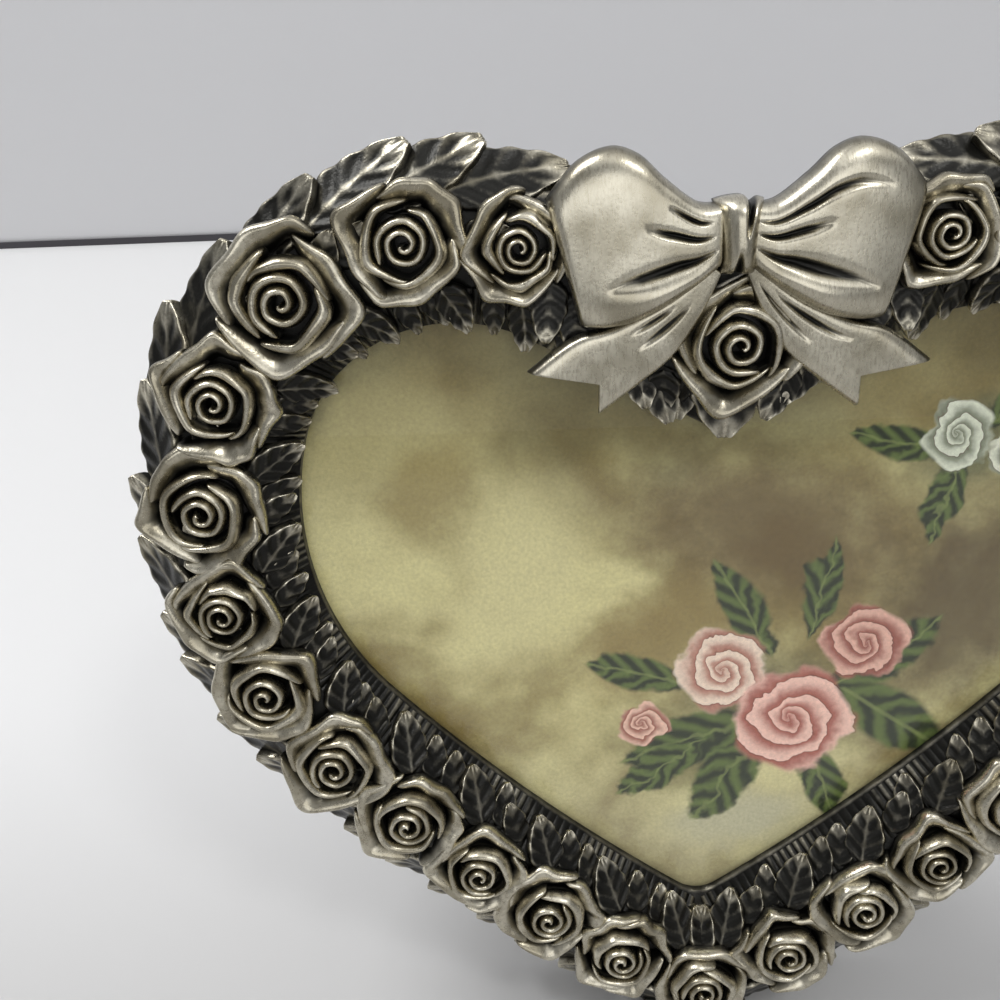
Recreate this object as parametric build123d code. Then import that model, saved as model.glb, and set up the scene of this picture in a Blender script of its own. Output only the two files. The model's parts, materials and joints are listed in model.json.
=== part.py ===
from build123d import *
import math
import os

# Heart shaped photo frame: a cast garland of roses and leaves round a heart window, with a
# ribbon bow, glass, a picture and a velvet back on an easel leg.
#
# Millimetres. The frame is drawn with its face flat: x to the viewer's right, y up the face,
# z towards the viewer, and z = 0 on the rear rim of the casting. The last section leans it
# back on its tip and its easel leg, with +Z up.

# Garland line: the centre line of the roses, from the heart's tip up one side to its notch.
# Headings are in degrees, turning from straight out to the side (0) through straight up (90).
TIP_DROP = 62.2
FLANK_START = 32.6
FLANK_RADIUS = 285.0
FLANK_END = 46.9
SIDE_RADIUS = 52.9
SIDE_END = 106.2
LOBE_RADIUS = 33.1
LOBE_END = 208.0

# Casting: widths are measured square to the garland line, heights from the rear rim.
OPENING_INSET = 11.5
SKIRT_OUTSET = 9.4
TIP_ROUND = 17.0
WINDOW_TIP_ROUND = 5.0
LIP_THICKNESS = 1.3
SLOPE_RISE = 5.0
OUTER_SLOPE_RUN = 6.2
INNER_SLOPE_RUN = 5.5
LEDGE_WIDTH = 3.0
POCKET_WALL = 2.2
SKIRT_WALL = 2.2
CHANNEL_DEPTH = 8.0
CHANNEL_RUN = 2.5
OVERRUN = 1.0

# Roses, as their places along the garland line and their radii, as shares chosen by hand.
ROSE_RADIUS = 7.6
ROSE_HEIGHT = 4.4
ROSE_SINK = 0.9
ROSE_LENGTH_SHARES = (0.076, 0.144, 0.209, 0.277, 0.346, 0.419, 0.485, 0.558, 0.633, 0.711, 0.793, 0.861)
ROSE_RADIUS_SHARES = (0.90, 0.92, 0.87, 0.92, 0.94, 0.96, 0.86, 0.99, 0.95, 1.13, 1.04, 0.88)
TIP_ROSE_SHARE = 0.92
TIP_ROSE_LIFT = 1.2
NOTCH_ROSE_SHARE = 0.90
PETALS = 3
PETAL_TUCK = 1.2
PETAL_HEIGHT_SHARE = 0.76
PETAL_FALL = 17.0
PETAL_FALL_TURN_SHARE = 0.28
BUD_RADIUS_SHARE = 0.58
BUD_WALL = 0.9
BUD_TURNS = 1.2
BUD_STEPS = 6
ROSE_TURN = 47.0

# Leaves: each is turned out from the line, rolled to lie on its slope, and pitched at its tip.
OUTER_LEAVES = 17
OUTER_LEAF_LENGTH = 14.0
OUTER_LEAF_WIDTH = 9.0
OUTER_LEAF_TURN = -13.0
OUTER_LEAF_ROLL = -36.0
OUTER_LEAF_PITCH = -5.0
OUTER_LEAF_OUTSET = 6.4
OUTER_LEAF_HEIGHT = 9.0
OUTER_LEAF_END_SHARE = 0.90
INNER_LEAVES = 14
INNER_LEAF_LENGTH = 12.5
INNER_LEAF_WIDTH = 8.0
INNER_LEAF_TURN = 12.0
INNER_LEAF_ROLL = 46.0
INNER_LEAF_PITCH = 7.0
INNER_LEAF_INSET = 7.4
INNER_LEAF_HEIGHT = 9.4
LEAF_EDGE = 0.7
LEAF_RIDGE = 1.5
LEAF_ROOT = 2.4
LEAF_TUCK_SHARE = 0.35
LEAF_SHARES = ((0.28, 1.0), (0.68, 0.72))

# Bow: its outline is drawn from the middle of its knot, as shares chosen by hand.
BOW_STANDOFF = 2.2
BOW_PEG_RADIUS = 2.4
BOW_PEG_LENGTH_SHARE = 0.93
BOW_BOSS_RADIUS = 3.2
KNOT_LIFT = 13.6
KNOT_WIDTH = 5.4
KNOT_HEIGHT = 9.4
KNOT_TOP = 5.0
KNOT_CROWN_RADIUS = 3.35
KNOT_CREASE_SHARES = (0.18, 0.28, 0.5)
LOOP_REACH = 22.5
LOOP_HEIGHT = 20.4
LOOP_LIFT = 0.8
LOOP_THICKNESS = 3.4
LOOP_CROWN_RADIUS = 30.0
LOOP_SHARES = (
    (0.04, 0.21),
    (0.20, 0.21),
    (0.36, 0.32),
    (0.66, 0.525),
    (0.86, 0.43),
    (1.00, 0.235),
    (0.94, -0.06),
    (0.80, -0.475),
    (0.50, -0.42),
    (0.04, -0.16),
)
TAIL_REACH = 25.1
TAIL_DROP = 21.1
TAIL_SHARES = (
    (0.06, -0.10),
    (0.45, -0.38),
    (0.845, -0.56),
    (1.00, -0.73),
    (0.69, -0.78),
    (0.65, -1.00),
    (0.45, -0.81),
    (0.21, -0.555),
    (0.06, -0.22),
)
TAIL_THICKNESS = 2.4
CREASE_WIDTH = 1.1
CREASE_DEPTH = 1.3
CREASE_SHARES = ((0.10, -14.0, 0.30), (-0.02, 0.0, 0.40), (-0.13, 18.0, 0.55))
RIBBON_CHAMFER = 0.5

# What lies in the pocket behind the window, from the rear forwards.
REAR_RECESS = 0.25
VELVET_THICKNESS = 0.3
BACK_BOARD_THICKNESS = 2.0
FILLER_THICKNESS = 0.8
PRINT_THICKNESS = 0.25
GLASS_THICKNESS = 1.5
POCKET_CLEARANCE = 0.4

# Turn buttons, which hold the back in, and the screws.
BUTTON_LENGTH_SHARES = (0.24, 0.66)
BUTTON_SCREW_REACH = 3.6
BUTTON_BOSS_RADIUS = 2.9
BUTTON_LENGTH = 6.6
BUTTON_HUB_RADIUS = 2.6
BUTTON_TIP_RADIUS = 1.9
BUTTON_THICKNESS = 0.9
BUTTON_PLAY = 0.05
FASTENER_SIDES = 8
BORE_SIDES = 16
SCREW_RADIUS = 1.2
SCREW_PLAY = 0.06
SCREW_HEAD_RADIUS = 2.1
SCREW_HEAD_HEIGHT = 1.2
SCREW_BITE = 5.0
SCREW_RECESS = 2.4
BOW_SCREW_BITE = 3.6
BOW_ROOM = 0.4

# Hinge, rolled from sheet, between the back and the easel leg.
HINGE_NOTCH_GAP = 4.12
HINGE_WIDTH = 24.0
HINGE_GAUGE = 0.6
FIXED_LEAF_HEIGHT = 12.0
MOVING_LEAF_HEIGHT = 14.0
LEAF_CORNER_RADIUS = 2.0
MOVING_KNUCKLE_LENGTH = 9.0
KNUCKLE_GAP = 0.2
PIN_RADIUS = 1.0
PIN_PLAY = 0.05
PIN_HEAD_RADIUS = 1.5
PIN_HEAD_LENGTH = 0.7
RIVET_RADIUS = 1.1
RIVET_HEAD_RADIUS = 2.0
RIVET_HEAD_HEIGHT = 0.7
CLINCH_HEIGHT = 0.3
FIXED_RIVET_SPACING = 14.0
FIXED_RIVET_UP = 7.0
MOVING_RIVET_SPACING = 11.0
MOVING_RIVET_DOWN = 8.5

# Easel leg.
LEG_THICKNESS = 1.5
LEG_TOP_WIDTH = 26.0
LEG_FOOT_WIDTH = 50.0
LEG_TOP_GAP = 0.5
LEG_CORNER_RADIUS = 3.0
LEG_ARCH_WIDTH = 30.0
LEG_ARCH_RISE = 5.0
LEG_VELVET_FOOT_GAP = 2.0

# Ribbon stay, which stops the leg, and its two staples.
STAY_TIP_GAP = 4.0
STAY_WIDTH = 8.0
STAY_THICKNESS = 0.35
STAY_TAB = 7.0
STAY_BEND_RADIUS = 0.9
STAY_PLAY = 0.1
STAPLE_WIRE = 0.6
STAPLE_DEPTH = 1.6
STAPLE_SIDE_GAP = 0.5

# Stance.
LEAN = 15.0
EASEL_OPEN = 35.0
FOOT_CUT = 2.3


def polar(radius, degrees):
    """The point at a radius and an angle from the x axis."""
    angle = math.radians(degrees)
    return Vector(radius * math.cos(angle), radius * math.sin(angle))


def facing_front(outline):
    """The flat face inside a closed outline, facing the viewer."""
    face = make_face(outline).face()
    return face if face.normal_at().Z > 0 else -face


class GarlandLine:
    """The left half of the garland line, or a line parallel to it, as three arcs and a straight run."""

    def __init__(self, outset=0.0):
        start = Vector(0, -TIP_DROP)
        self.pieces = []
        for radius, heading, end in (
            (FLANK_RADIUS, FLANK_START, FLANK_END),
            (SIDE_RADIUS, FLANK_END, SIDE_END),
            (LOBE_RADIUS, SIDE_END, LOBE_END),
        ):
            centre = start - polar(radius, 270 - heading)
            self.pieces.append((centre, radius + outset, heading, end))
            start = centre + polar(radius, 270 - end)
        centre, radius = self.pieces[-1][:2]
        self.run_start = centre + polar(radius, 270 - LOBE_END)
        rise = self.run_start.X * math.tan(math.radians(LOBE_END))
        self.run_end = Vector(0, self.run_start.Y + rise)
        centre, radius = self.pieces[0][:2]
        self.tip = Vector(0, centre.Y - math.sqrt(radius**2 - centre.X**2))

    def lengths(self):
        """The length of each arc and of the straight run, along this line."""
        arcs = [radius * math.radians(end - heading) for _, radius, heading, end in self.pieces]
        return arcs + [(self.run_end - self.run_start).length]

    def place(self, share):
        """The point and the heading at a share of the line's length from the tip."""
        lengths = self.lengths()
        left = share * sum(lengths)
        for (centre, radius, heading, _), length in zip(self.pieces, lengths):
            if left <= length:
                now = heading + math.degrees(left / radius)
                return centre + polar(radius, 270 - now), now
            left -= length
        along = self.run_end - self.run_start
        return self.run_start + along * (left / lengths[-1]), LOBE_END

    def edges(self):
        """The half outline from the tip to the notch, as arcs and one straight line."""
        edges = []
        start = self.tip
        for centre, radius, heading, end in self.pieces:
            middle = centre + polar(radius, 270 - (heading + end) / 2)
            finish = centre + polar(radius, 270 - end)
            edges.append(ThreePointArc(start, middle, finish))
            start = finish
        return edges + [Line(start, self.run_end)]


def heart(outset, tip_round=0.0):
    """A closed heart, parallel to the garland line, with its tip rounded."""
    half = Curve() + GarlandLine(outset).edges()
    face = facing_front(half + mirror(half, Plane.YZ))
    if tip_round:
        tip = face.vertices().sort_by(Axis.Y)[0]
        face = face.fillet_2d(tip_round, [tip])
    return face


def both_sides(shape):
    """The shape and its mirror image about the frame's middle, as a list of solids."""
    return list(shape.solids()) + list(mirror(shape, Plane.YZ).solids())


def leaf(length, width, side):
    """A pointed leaf along +x with a raised midrib, its root below z = 0.

    Only the half on the given side of y shows; the other is a narrow strip, tucked under the roses.
    """
    half = side * width / 2
    tuck = -half * LEAF_TUCK_SHARE
    shown = [(along * length, across * half) for along, across in LEAF_SHARES]
    outline = facing_front(Polyline((0, tuck), (0, 0), *shown, (length, 0), close=True))
    blank = Pos(0, 0, -LEAF_ROOT) * extrude(outline, LEAF_ROOT + LEAF_RIDGE)
    fall = (LEAF_RIDGE - LEAF_EDGE) * LEAF_TUCK_SHARE
    profile = Polyline(
        (tuck, -LEAF_ROOT),
        (half, -LEAF_ROOT),
        (half, LEAF_EDGE),
        (0, LEAF_RIDGE),
        (tuck, LEAF_RIDGE - fall),
        close=True,
    )
    return blank & extrude(Plane.YZ * make_face(profile), length)


def petal(radius, height):
    """One broad outer petal: it falls towards the rose's middle and its own far end, under the next."""
    span = 360 / PETALS
    rim = [polar(radius - PETAL_TUCK * share, span * share) for share in (0, 1 / 2, 1)]
    wedge = extrude(make_face(Polyline((0, 0), *rim, close=True)), height)
    fall = Rot(0, 0, span * PETAL_FALL_TURN_SHARE) * Pos(radius, 0, height) * Rot(0, -PETAL_FALL, 0)
    return split(wedge, bisect_by=fall * Plane.XY, keep=Keep.BOTTOM)


def bud(radius, height):
    """The rolled heart of a rose: a spiral wall that winds in to the middle."""
    outer = []
    inner = []
    for step in range(BUD_STEPS):
        share = step / (BUD_STEPS - 1)
        reach = radius * (1 - share) + 2 * BUD_WALL * share
        turn = -360 * BUD_TURNS * share
        outer.append(polar(reach, turn))
        inner.append(polar(reach - BUD_WALL, turn))
    return extrude(make_face(Polyline(*outer, *reversed(inner), close=True)), height)


def rose(radius):
    """A rose: broad lapped petals that form a bowl, round a rolled bud, its base at z = 0."""
    blade = petal(radius, ROSE_SINK + ROSE_HEIGHT * PETAL_HEIGHT_SHARE)
    petals = [Rot(0, 0, number * 360 / PETALS) * blade for number in range(PETALS)]
    return Part() + [*petals, bud(radius * BUD_RADIUS_SHARE, ROSE_SINK + ROSE_HEIGHT)]


# Heights that follow from what lies in the pocket.
BOARD_REAR = REAR_RECESS + VELVET_THICKNESS
BOARD_FRONT = BOARD_REAR + BACK_BOARD_THICKNESS
FILLER_FRONT = BOARD_FRONT + FILLER_THICKNESS
PRINT_FRONT = FILLER_FRONT + PRINT_THICKNESS
SEAT = PRINT_FRONT + GLASS_THICKNESS
LIP_TOP = SEAT + LIP_THICKNESS
CREST = LIP_TOP + SLOPE_RISE
POCKET_INSET = OPENING_INSET - LEDGE_WIDTH
POCKET_NOTCH = GarlandLine(-POCKET_INSET).run_end.Y
POCKET_TIP = heart(-POCKET_INSET, WINDOW_TIP_ROUND).bounding_box().min.Y
HINGE_UP = POCKET_NOTCH - HINGE_NOTCH_GAP - FIXED_LEAF_HEIGHT
STAY_DOWN = HINGE_UP - POCKET_TIP - STAY_TIP_GAP - STAY_TAB
BOW_REAR = CREST + BOW_STANDOFF


def stacked(levels, tip_round):
    """A heart shaped bulk through (height, outset) levels, each joined to the next by ruled sides."""
    return loft([Pos(0, 0, height) * heart(outset, tip_round) for height, outset in levels], ruled=True)


def casting_bulk():
    """The plain heart ring, solid behind: a skirt and a slope each side up to the flat crest."""
    bulk = stacked(
        (
            (0, SKIRT_OUTSET),
            (LIP_TOP, SKIRT_OUTSET),
            (CREST, SKIRT_OUTSET - OUTER_SLOPE_RUN),
        ),
        TIP_ROUND,
    )
    window = stacked(
        (
            (-OVERRUN, -OPENING_INSET),
            (LIP_TOP, -OPENING_INSET),
            (CREST, INNER_SLOPE_RUN - OPENING_INSET),
            (CREST + OVERRUN, INNER_SLOPE_RUN - OPENING_INSET),
        ),
        WINDOW_TIP_ROUND,
    )
    return bulk - window


def pocket():
    """The room behind the window for the glass, the picture and the back."""
    return Pos(0, 0, -OVERRUN) * extrude(heart(-POCKET_INSET, WINDOW_TIP_ROUND), SEAT + OVERRUN)


def channel():
    """The hollow behind the garland, left between the skirt and the pocket's wall."""
    outer = SKIRT_OUTSET - SKIRT_WALL
    inner = POCKET_WALL - POCKET_INSET
    hollow = stacked(((-OVERRUN, outer), (CHANNEL_DEPTH, outer - CHANNEL_RUN)), TIP_ROUND)
    core = stacked(((-OVERRUN, inner), (CHANNEL_DEPTH, inner + CHANNEL_RUN)), WINDOW_TIP_ROUND)
    hollow -= core
    for point, _ in turn_button_places():
        hollow -= upright(BUTTON_BOSS_RADIUS, 0, CHANNEL_DEPTH, point)
    for point in bow_peg_points():
        hollow -= upright(BOW_BOSS_RADIUS, SCREW_RECESS, CHANNEL_DEPTH, point)
    return hollow


def turn_button_places():
    """Where each turn button's screw stands, with the heading of the garland line there."""
    line = GarlandLine(BUTTON_SCREW_REACH - POCKET_INSET)
    places = []
    for share in BUTTON_LENGTH_SHARES:
        point, heading = line.place(share)
        places.append((point, heading))
        places.append((Vector(-point.X, point.Y), -heading))
    return places


def bow_peg_points():
    """Where the bow's two pegs stand on the crest, one each side of the notch."""
    point, _ = GarlandLine().place(BOW_PEG_LENGTH_SHARE)
    return [point, Vector(-point.X, point.Y)]


def garland_roses():
    """Every rose on the casting, low on the crest."""
    line = GarlandLine()
    roses = []
    for number, (along, size) in enumerate(zip(ROSE_LENGTH_SHARES, ROSE_RADIUS_SHARES)):
        point, heading = line.place(along)
        flower = rose(ROSE_RADIUS * size)
        turn = -heading + number * ROSE_TURN
        roses += both_sides(Pos(point.X, point.Y, CREST - ROSE_SINK) * Rot(0, 0, turn) * flower)
    tip_rose = rose(ROSE_RADIUS * TIP_ROSE_SHARE)
    roses += (Pos(0, line.tip.Y + TIP_ROSE_LIFT, CREST - ROSE_SINK) * tip_rose).solids()
    notch_rose = rose(ROSE_RADIUS * NOTCH_ROSE_SHARE)
    roses += (Pos(0, line.run_end.Y, CREST - ROSE_SINK) * notch_rose).solids()
    return roses


def leaf_row(count, blade, tilt, root, end_share):
    """Leaves up both sides, each turned out from the line and rolled, its root at (outset, height)."""
    turn, roll, pitch = tilt
    outset, height = root
    line = GarlandLine(outset)
    leaves = []
    for number in range(count):
        point, heading = line.place(end_share * number / (count - 1))
        spot = Pos(point.X, point.Y, height) * Rot(0, 0, 180 - heading - turn)
        leaves += both_sides(spot * Rot(roll, 0, 0) * Rot(0, pitch, 0) * blade)
    return leaves


def bow_outline(shares, reach, height):
    """The points of one side of the bow, measured from the middle of its knot, to the left."""
    return [(-across * reach, up * height) for across, up in shares]


def bow_loop():
    """The left loop: a broad ribbon end, crowned across its height, with three pinched creases."""
    p = bow_outline(LOOP_SHARES, LOOP_REACH, LOOP_HEIGHT)
    face = facing_front(
        Curve()
        + [
            ThreePointArc(p[0], p[1], p[2]),
            ThreePointArc(p[2], p[3], p[4]),
            Line(p[4], p[5]),
            ThreePointArc(p[5], p[6], p[7]),
            ThreePointArc(p[7], p[8], p[9]),
            Line(p[9], p[0]),
        ]
    )
    blank = Pos(0, 0, LOOP_LIFT) * extrude(face, LOOP_THICKNESS)
    crown = Pos(-LOOP_REACH / 2, 0, LOOP_LIFT + LOOP_THICKNESS - LOOP_CROWN_RADIUS)
    blank &= crown * Rot(0, 90, 0) * Cylinder(LOOP_CROWN_RADIUS, 2 * LOOP_REACH)
    return blank - [crease(*shares) for shares in CREASE_SHARES]


def crease(start_share, turn, length_share):
    """A tapering groove in a loop, deepest at the knot."""
    half = CREASE_WIDTH / 2
    groove = make_face(Polyline((0, half), (0, -half), (LOOP_REACH * length_share, 0), close=True))
    top = LOOP_LIFT + LOOP_THICKNESS - CREASE_DEPTH
    start = Pos(-KNOT_WIDTH / 2, LOOP_HEIGHT * start_share, top)
    return start * Rot(0, 0, 180 - turn) * extrude(groove, CREASE_DEPTH + OVERRUN)


def bow_tail():
    """The left tail, flat, cut to a swallow tail."""
    points = bow_outline(TAIL_SHARES, TAIL_REACH, TAIL_DROP)
    tail = extrude(facing_front(Polyline(*points, close=True)), TAIL_THICKNESS)
    rim = tail.faces().sort_by(Axis.Z)[-1].edges()
    return chamfer(rim, RIBBON_CHAMFER)


def bow_knot():
    """The band round the middle of the bow, crowned, with a crease at its top right."""
    crown = Pos(0, 0, KNOT_TOP - KNOT_CROWN_RADIUS) * Rot(90, 0, 0)
    barrel = crown * Cylinder(KNOT_CROWN_RADIUS, KNOT_HEIGHT)
    barrel = chamfer(barrel.edges(), RIBBON_CHAMFER)
    barrel &= Pos(0, 0, KNOT_TOP / 2) * Box(KNOT_WIDTH, KNOT_HEIGHT, KNOT_TOP)
    across, up, length = KNOT_CREASE_SHARES
    groove = Pos(KNOT_WIDTH * across, KNOT_HEIGHT * up, KNOT_TOP)
    return barrel - groove * Rot(45, 0, 0) * Box(CREASE_WIDTH, KNOT_HEIGHT * length, CREASE_WIDTH)


def bow():
    """The ribbon bow, its knot's middle at the origin and its rear face at z = 0, without its pegs."""
    left = bow_loop() + bow_tail()
    right = mirror(left, Plane.YZ)
    return left + right + bow_knot()


def bow_place():
    """Where the middle of the knot stands over the notch."""
    return Pos(0, GarlandLine().run_end.Y + KNOT_LIFT, BOW_REAR)


def bow_seat():
    """What is cleared from the garland under the bow, and down to the crest at its pegs."""
    seat = []
    for shares, reach, height in (
        (LOOP_SHARES, LOOP_REACH, LOOP_HEIGHT),
        (TAIL_SHARES, TAIL_REACH, TAIL_DROP),
    ):
        outline = Polyline(*bow_outline(shares, reach, height), close=True)
        room = offset(facing_front(outline), BOW_ROOM, kind=Kind.INTERSECTION)
        lift = Pos(0, 0, -BOW_ROOM)
        seat += both_sides(bow_place() * lift * extrude(room, CREST))
    seat.append(bow_place() * Pos(0, 0, CREST / 2 - BOW_ROOM) * Box(KNOT_WIDTH, KNOT_HEIGHT, CREST))
    for point in bow_peg_points():
        seat.append(upright(BOW_PEG_RADIUS + BOW_ROOM, CREST, 2 * CREST, point))
    return seat


def upright(radius, low, high, point=Vector(0, 0)):
    """A small bar along z between two heights, round but for its few flat sides."""
    return Pos(point.X, point.Y, low) * extrude(RegularPolygon(radius, FASTENER_SIDES), high - low)


def bore(radius, length):
    """A hole for a turning bar, along z from z = 0: near enough round, and nowhere under its radius."""
    return extrude(RegularPolygon(radius, BORE_SIDES, major_radius=False), length)


def wreath_casting():
    """The whole casting: the ring, its roses and two rows of leaves, and its screw holes."""
    leaves = leaf_row(
        OUTER_LEAVES,
        leaf(OUTER_LEAF_LENGTH, OUTER_LEAF_WIDTH, 1),
        (OUTER_LEAF_TURN, OUTER_LEAF_ROLL, OUTER_LEAF_PITCH),
        (OUTER_LEAF_OUTSET, OUTER_LEAF_HEIGHT),
        OUTER_LEAF_END_SHARE,
    )
    leaves += leaf_row(
        INNER_LEAVES,
        leaf(INNER_LEAF_LENGTH, INNER_LEAF_WIDTH, -1),
        (INNER_LEAF_TURN, INNER_LEAF_ROLL, INNER_LEAF_PITCH),
        (-INNER_LEAF_INSET, INNER_LEAF_HEIGHT),
        1.0,
    )
    casting = casting_bulk() + leaves + garland_roses() - pocket() - channel()
    holes = []
    for point, _ in turn_button_places():
        holes.append(upright(SCREW_RADIUS, -OVERRUN, SCREW_BITE, point))
    for point in bow_peg_points():
        holes.append(upright(SCREW_RADIUS + SCREW_PLAY, 0, CREST + OVERRUN, point))
    return casting - bow_seat() - holes


def bow_casting():
    """The bow with the two pegs that seat it on the crest, each drilled for its screw."""
    casting = bow_place() * bow()
    top = BOW_REAR + LOOP_LIFT + OVERRUN
    points = bow_peg_points()
    casting += [upright(BOW_PEG_RADIUS, CREST, top, point) for point in points]
    return casting - [upright(SCREW_RADIUS, CREST, CREST + BOW_SCREW_BITE, point) for point in points]


def pan_screw(length):
    """A pan head screw, its head behind z = 0 and its shank in front."""
    return upright(SCREW_HEAD_RADIUS, -SCREW_HEAD_HEIGHT, 0) + upright(SCREW_RADIUS, 0, length)


def bow_screws():
    """The two screws that hold the bow, their heads sunk in the hollow back."""
    screw = pan_screw(CREST - SCREW_RECESS + BOW_SCREW_BITE)
    return [Pos(point.X, point.Y, SCREW_RECESS) * screw for point in bow_peg_points()]


def turn_button():
    """One turn button, its screw hole at the origin, pointing along +x, its front face at z = 0."""
    hub = Rot(0, 0, 180 / FASTENER_SIDES) * RegularPolygon(BUTTON_HUB_RADIUS, FASTENER_SIDES)
    tip = Pos(BUTTON_LENGTH, 0) * RegularPolygon(BUTTON_TIP_RADIUS, FASTENER_SIDES)
    plate = extrude(make_hull(hub.edges() + tip.edges()), -BUTTON_THICKNESS)
    return plate - Pos(0, 0, -BUTTON_THICKNESS) * bore(SCREW_RADIUS + SCREW_PLAY, BUTTON_THICKNESS)


def turn_buttons():
    """The turn buttons, each pointing in over the back."""
    button = Pos(0, 0, -BUTTON_PLAY) * turn_button()
    placed = []
    for point, heading in turn_button_places():
        placed.append(Pos(point.X, point.Y) * Rot(0, 0, 90 - heading) * button)
    return placed


def turn_button_screws():
    """The screws that the turn buttons swivel on."""
    rear = -(BUTTON_THICKNESS + 2 * BUTTON_PLAY)
    screw = pan_screw(SCREW_BITE - rear)
    return [Pos(point.X, point.Y, rear) * screw for point, _ in turn_button_places()]


def pocket_sheet(rear, thickness):
    """A heart shaped sheet that drops into the pocket with a little room all round."""
    return Pos(0, 0, rear) * extrude(heart(-POCKET_INSET - POCKET_CLEARANCE, WINDOW_TIP_ROUND), thickness)


# Hinge: its pieces are drawn round the pin, with x along it, y up and z towards the viewer.
KNUCKLE_BORE = PIN_RADIUS + PIN_PLAY
KNUCKLE_RADIUS = KNUCKLE_BORE + HINGE_GAUGE
HINGE_Z = REAR_RECESS - KNUCKLE_RADIUS
LEG_FRONT = LEG_THICKNESS + 2 * VELVET_THICKNESS - KNUCKLE_BORE


def along_pin(bar, start):
    """A bar that was drawn along z, laid along the hinge pin."""
    return Pos(start, 0, 0) * Rot(0, 90, 0) * bar


def knuckles(spans):
    """Rolled knuckles over the given spans of the pin."""
    rolls = []
    for start, end in spans:
        roll = extrude(RegularPolygon(KNUCKLE_RADIUS, BORE_SIDES), end - start)
        rolls.append(along_pin(roll - bore(KNUCKLE_BORE, end - start), start))
    return rolls


def hinge_leaf(height, spans, others, rivets):
    """A sheet leaf that rises from the pin on its front side, with its knuckles and rivet holes."""
    sheet = Pos(0, height / 2, KNUCKLE_BORE) * extrude(Rectangle(HINGE_WIDTH, height), HINGE_GAUGE)
    corners = sheet.edges().filter_by(Axis.Z).group_by(Axis.Y)[-1]
    sheet = fillet(corners, LEAF_CORNER_RADIUS)
    reach = KNUCKLE_RADIUS + KNUCKLE_GAP
    for start, end in others:
        low = max(start - KNUCKLE_GAP, -HINGE_WIDTH / 2)
        high = min(end + KNUCKLE_GAP, HINGE_WIDTH / 2)
        sheet -= Pos((low + high) / 2, 0, KNUCKLE_RADIUS) * Box(high - low, 2 * reach, 2 * KNUCKLE_RADIUS)
    sheet -= [upright(RIVET_RADIUS, 0, 2 * KNUCKLE_RADIUS, point) for point in rivets]
    for start, end in spans:
        sheet -= along_pin(bore(KNUCKLE_BORE, end - start), start)
    return sheet + knuckles(spans)


def knuckle_spans():
    """The spans of the fixed leaf's knuckles and of the moving leaf's one between them."""
    half = MOVING_KNUCKLE_LENGTH / 2
    end = HINGE_WIDTH / 2
    fixed = [(-end, -half - KNUCKLE_GAP), (half + KNUCKLE_GAP, end)]
    return fixed, [(-half, half)]


def fixed_rivet_points():
    """The rivets of the fixed leaf, from the pin."""
    return [Vector(side * FIXED_RIVET_SPACING / 2, FIXED_RIVET_UP) for side in (-1, 1)]


def moving_rivet_points():
    """The rivets of the moving leaf, from the pin."""
    return [Vector(side * MOVING_RIVET_SPACING / 2, -MOVING_RIVET_DOWN) for side in (-1, 1)]


def hinge_fixed_leaf():
    """The leaf on the back, above the pin."""
    fixed, moving = knuckle_spans()
    return hinge_leaf(FIXED_LEAF_HEIGHT, fixed, moving, fixed_rivet_points())


def hinge_moving_leaf():
    """The leaf on the leg: the same way up from the pin, then turned over to hang behind the leg."""
    fixed, moving = knuckle_spans()
    points = [Vector(point.X, -point.Y) for point in moving_rivet_points()]
    return Rot(180, 0, 0) * hinge_leaf(MOVING_LEAF_HEIGHT, moving, fixed, points)


def hinge_pin():
    """The pin, with a small head at each end to keep it in."""
    half = HINGE_WIDTH / 2
    pin = Rot(0, 90, 0) * upright(PIN_RADIUS, -half, half)
    head = Rot(0, 90, 0) * upright(PIN_HEAD_RADIUS, half, half + PIN_HEAD_LENGTH)
    return pin + head + mirror(head, Plane.YZ)


def rivet(head, clinch, point):
    """A rivet along z: a head behind the height head, and a shank from there to the height clinch."""
    cap = upright(RIVET_HEAD_RADIUS, head - RIVET_HEAD_HEIGHT, head, point)
    return cap + upright(RIVET_RADIUS, head, clinch, point)


def hinge_fixed_rivets():
    """Rivets through the fixed leaf, the velvet and the back board."""
    return [rivet(KNUCKLE_BORE, BOARD_FRONT - HINGE_Z, point) for point in fixed_rivet_points()]


def hinge_moving_rivets():
    """Rivets through the moving leaf and the leg, clinched over its front velvet."""
    rivets = []
    for point in moving_rivet_points():
        clinch = upright(RIVET_HEAD_RADIUS, LEG_FRONT, LEG_FRONT + CLINCH_HEIGHT, point)
        rivets.append(rivet(-KNUCKLE_RADIUS, LEG_FRONT, point) + clinch)
    return rivets


# Stance: how the frame stands. The foot is cut where the skirt's rounded tip meets the floor.
TIP_BOTTOM = heart(SKIRT_OUTSET, TIP_ROUND).bounding_box().min.Y
LEAN_COS = math.cos(math.radians(LEAN))
LEAN_SIN = math.sin(math.radians(LEAN))
FOOT_Z = TIP_BOTTOM * LEAN_COS + FOOT_CUT
FOOT_Y = (FOOT_Z * LEAN_SIN - LIP_TOP / 2) / LEAN_COS
PIN_HEIGHT = HINGE_UP * LEAN_COS + HINGE_Z * LEAN_SIN - FOOT_Z
LEG_REACH = PIN_HEIGHT / math.cos(math.radians(EASEL_OPEN - LEAN))
STAND = Pos(0, -FOOT_Y, -FOOT_Z) * Rot(90 - LEAN, 0, 0)
HINGE = STAND * Pos(0, HINGE_UP, HINGE_Z)
LEG = HINGE * Rot(EASEL_OPEN, 0, 0)


def above_floor(shape):
    """The shape without what would lie below the floor."""
    floor = Pos(0, 0, -LEG_REACH) * Box(4 * LEG_REACH, 4 * LEG_REACH, 2 * LEG_REACH)
    return shape - floor


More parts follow.
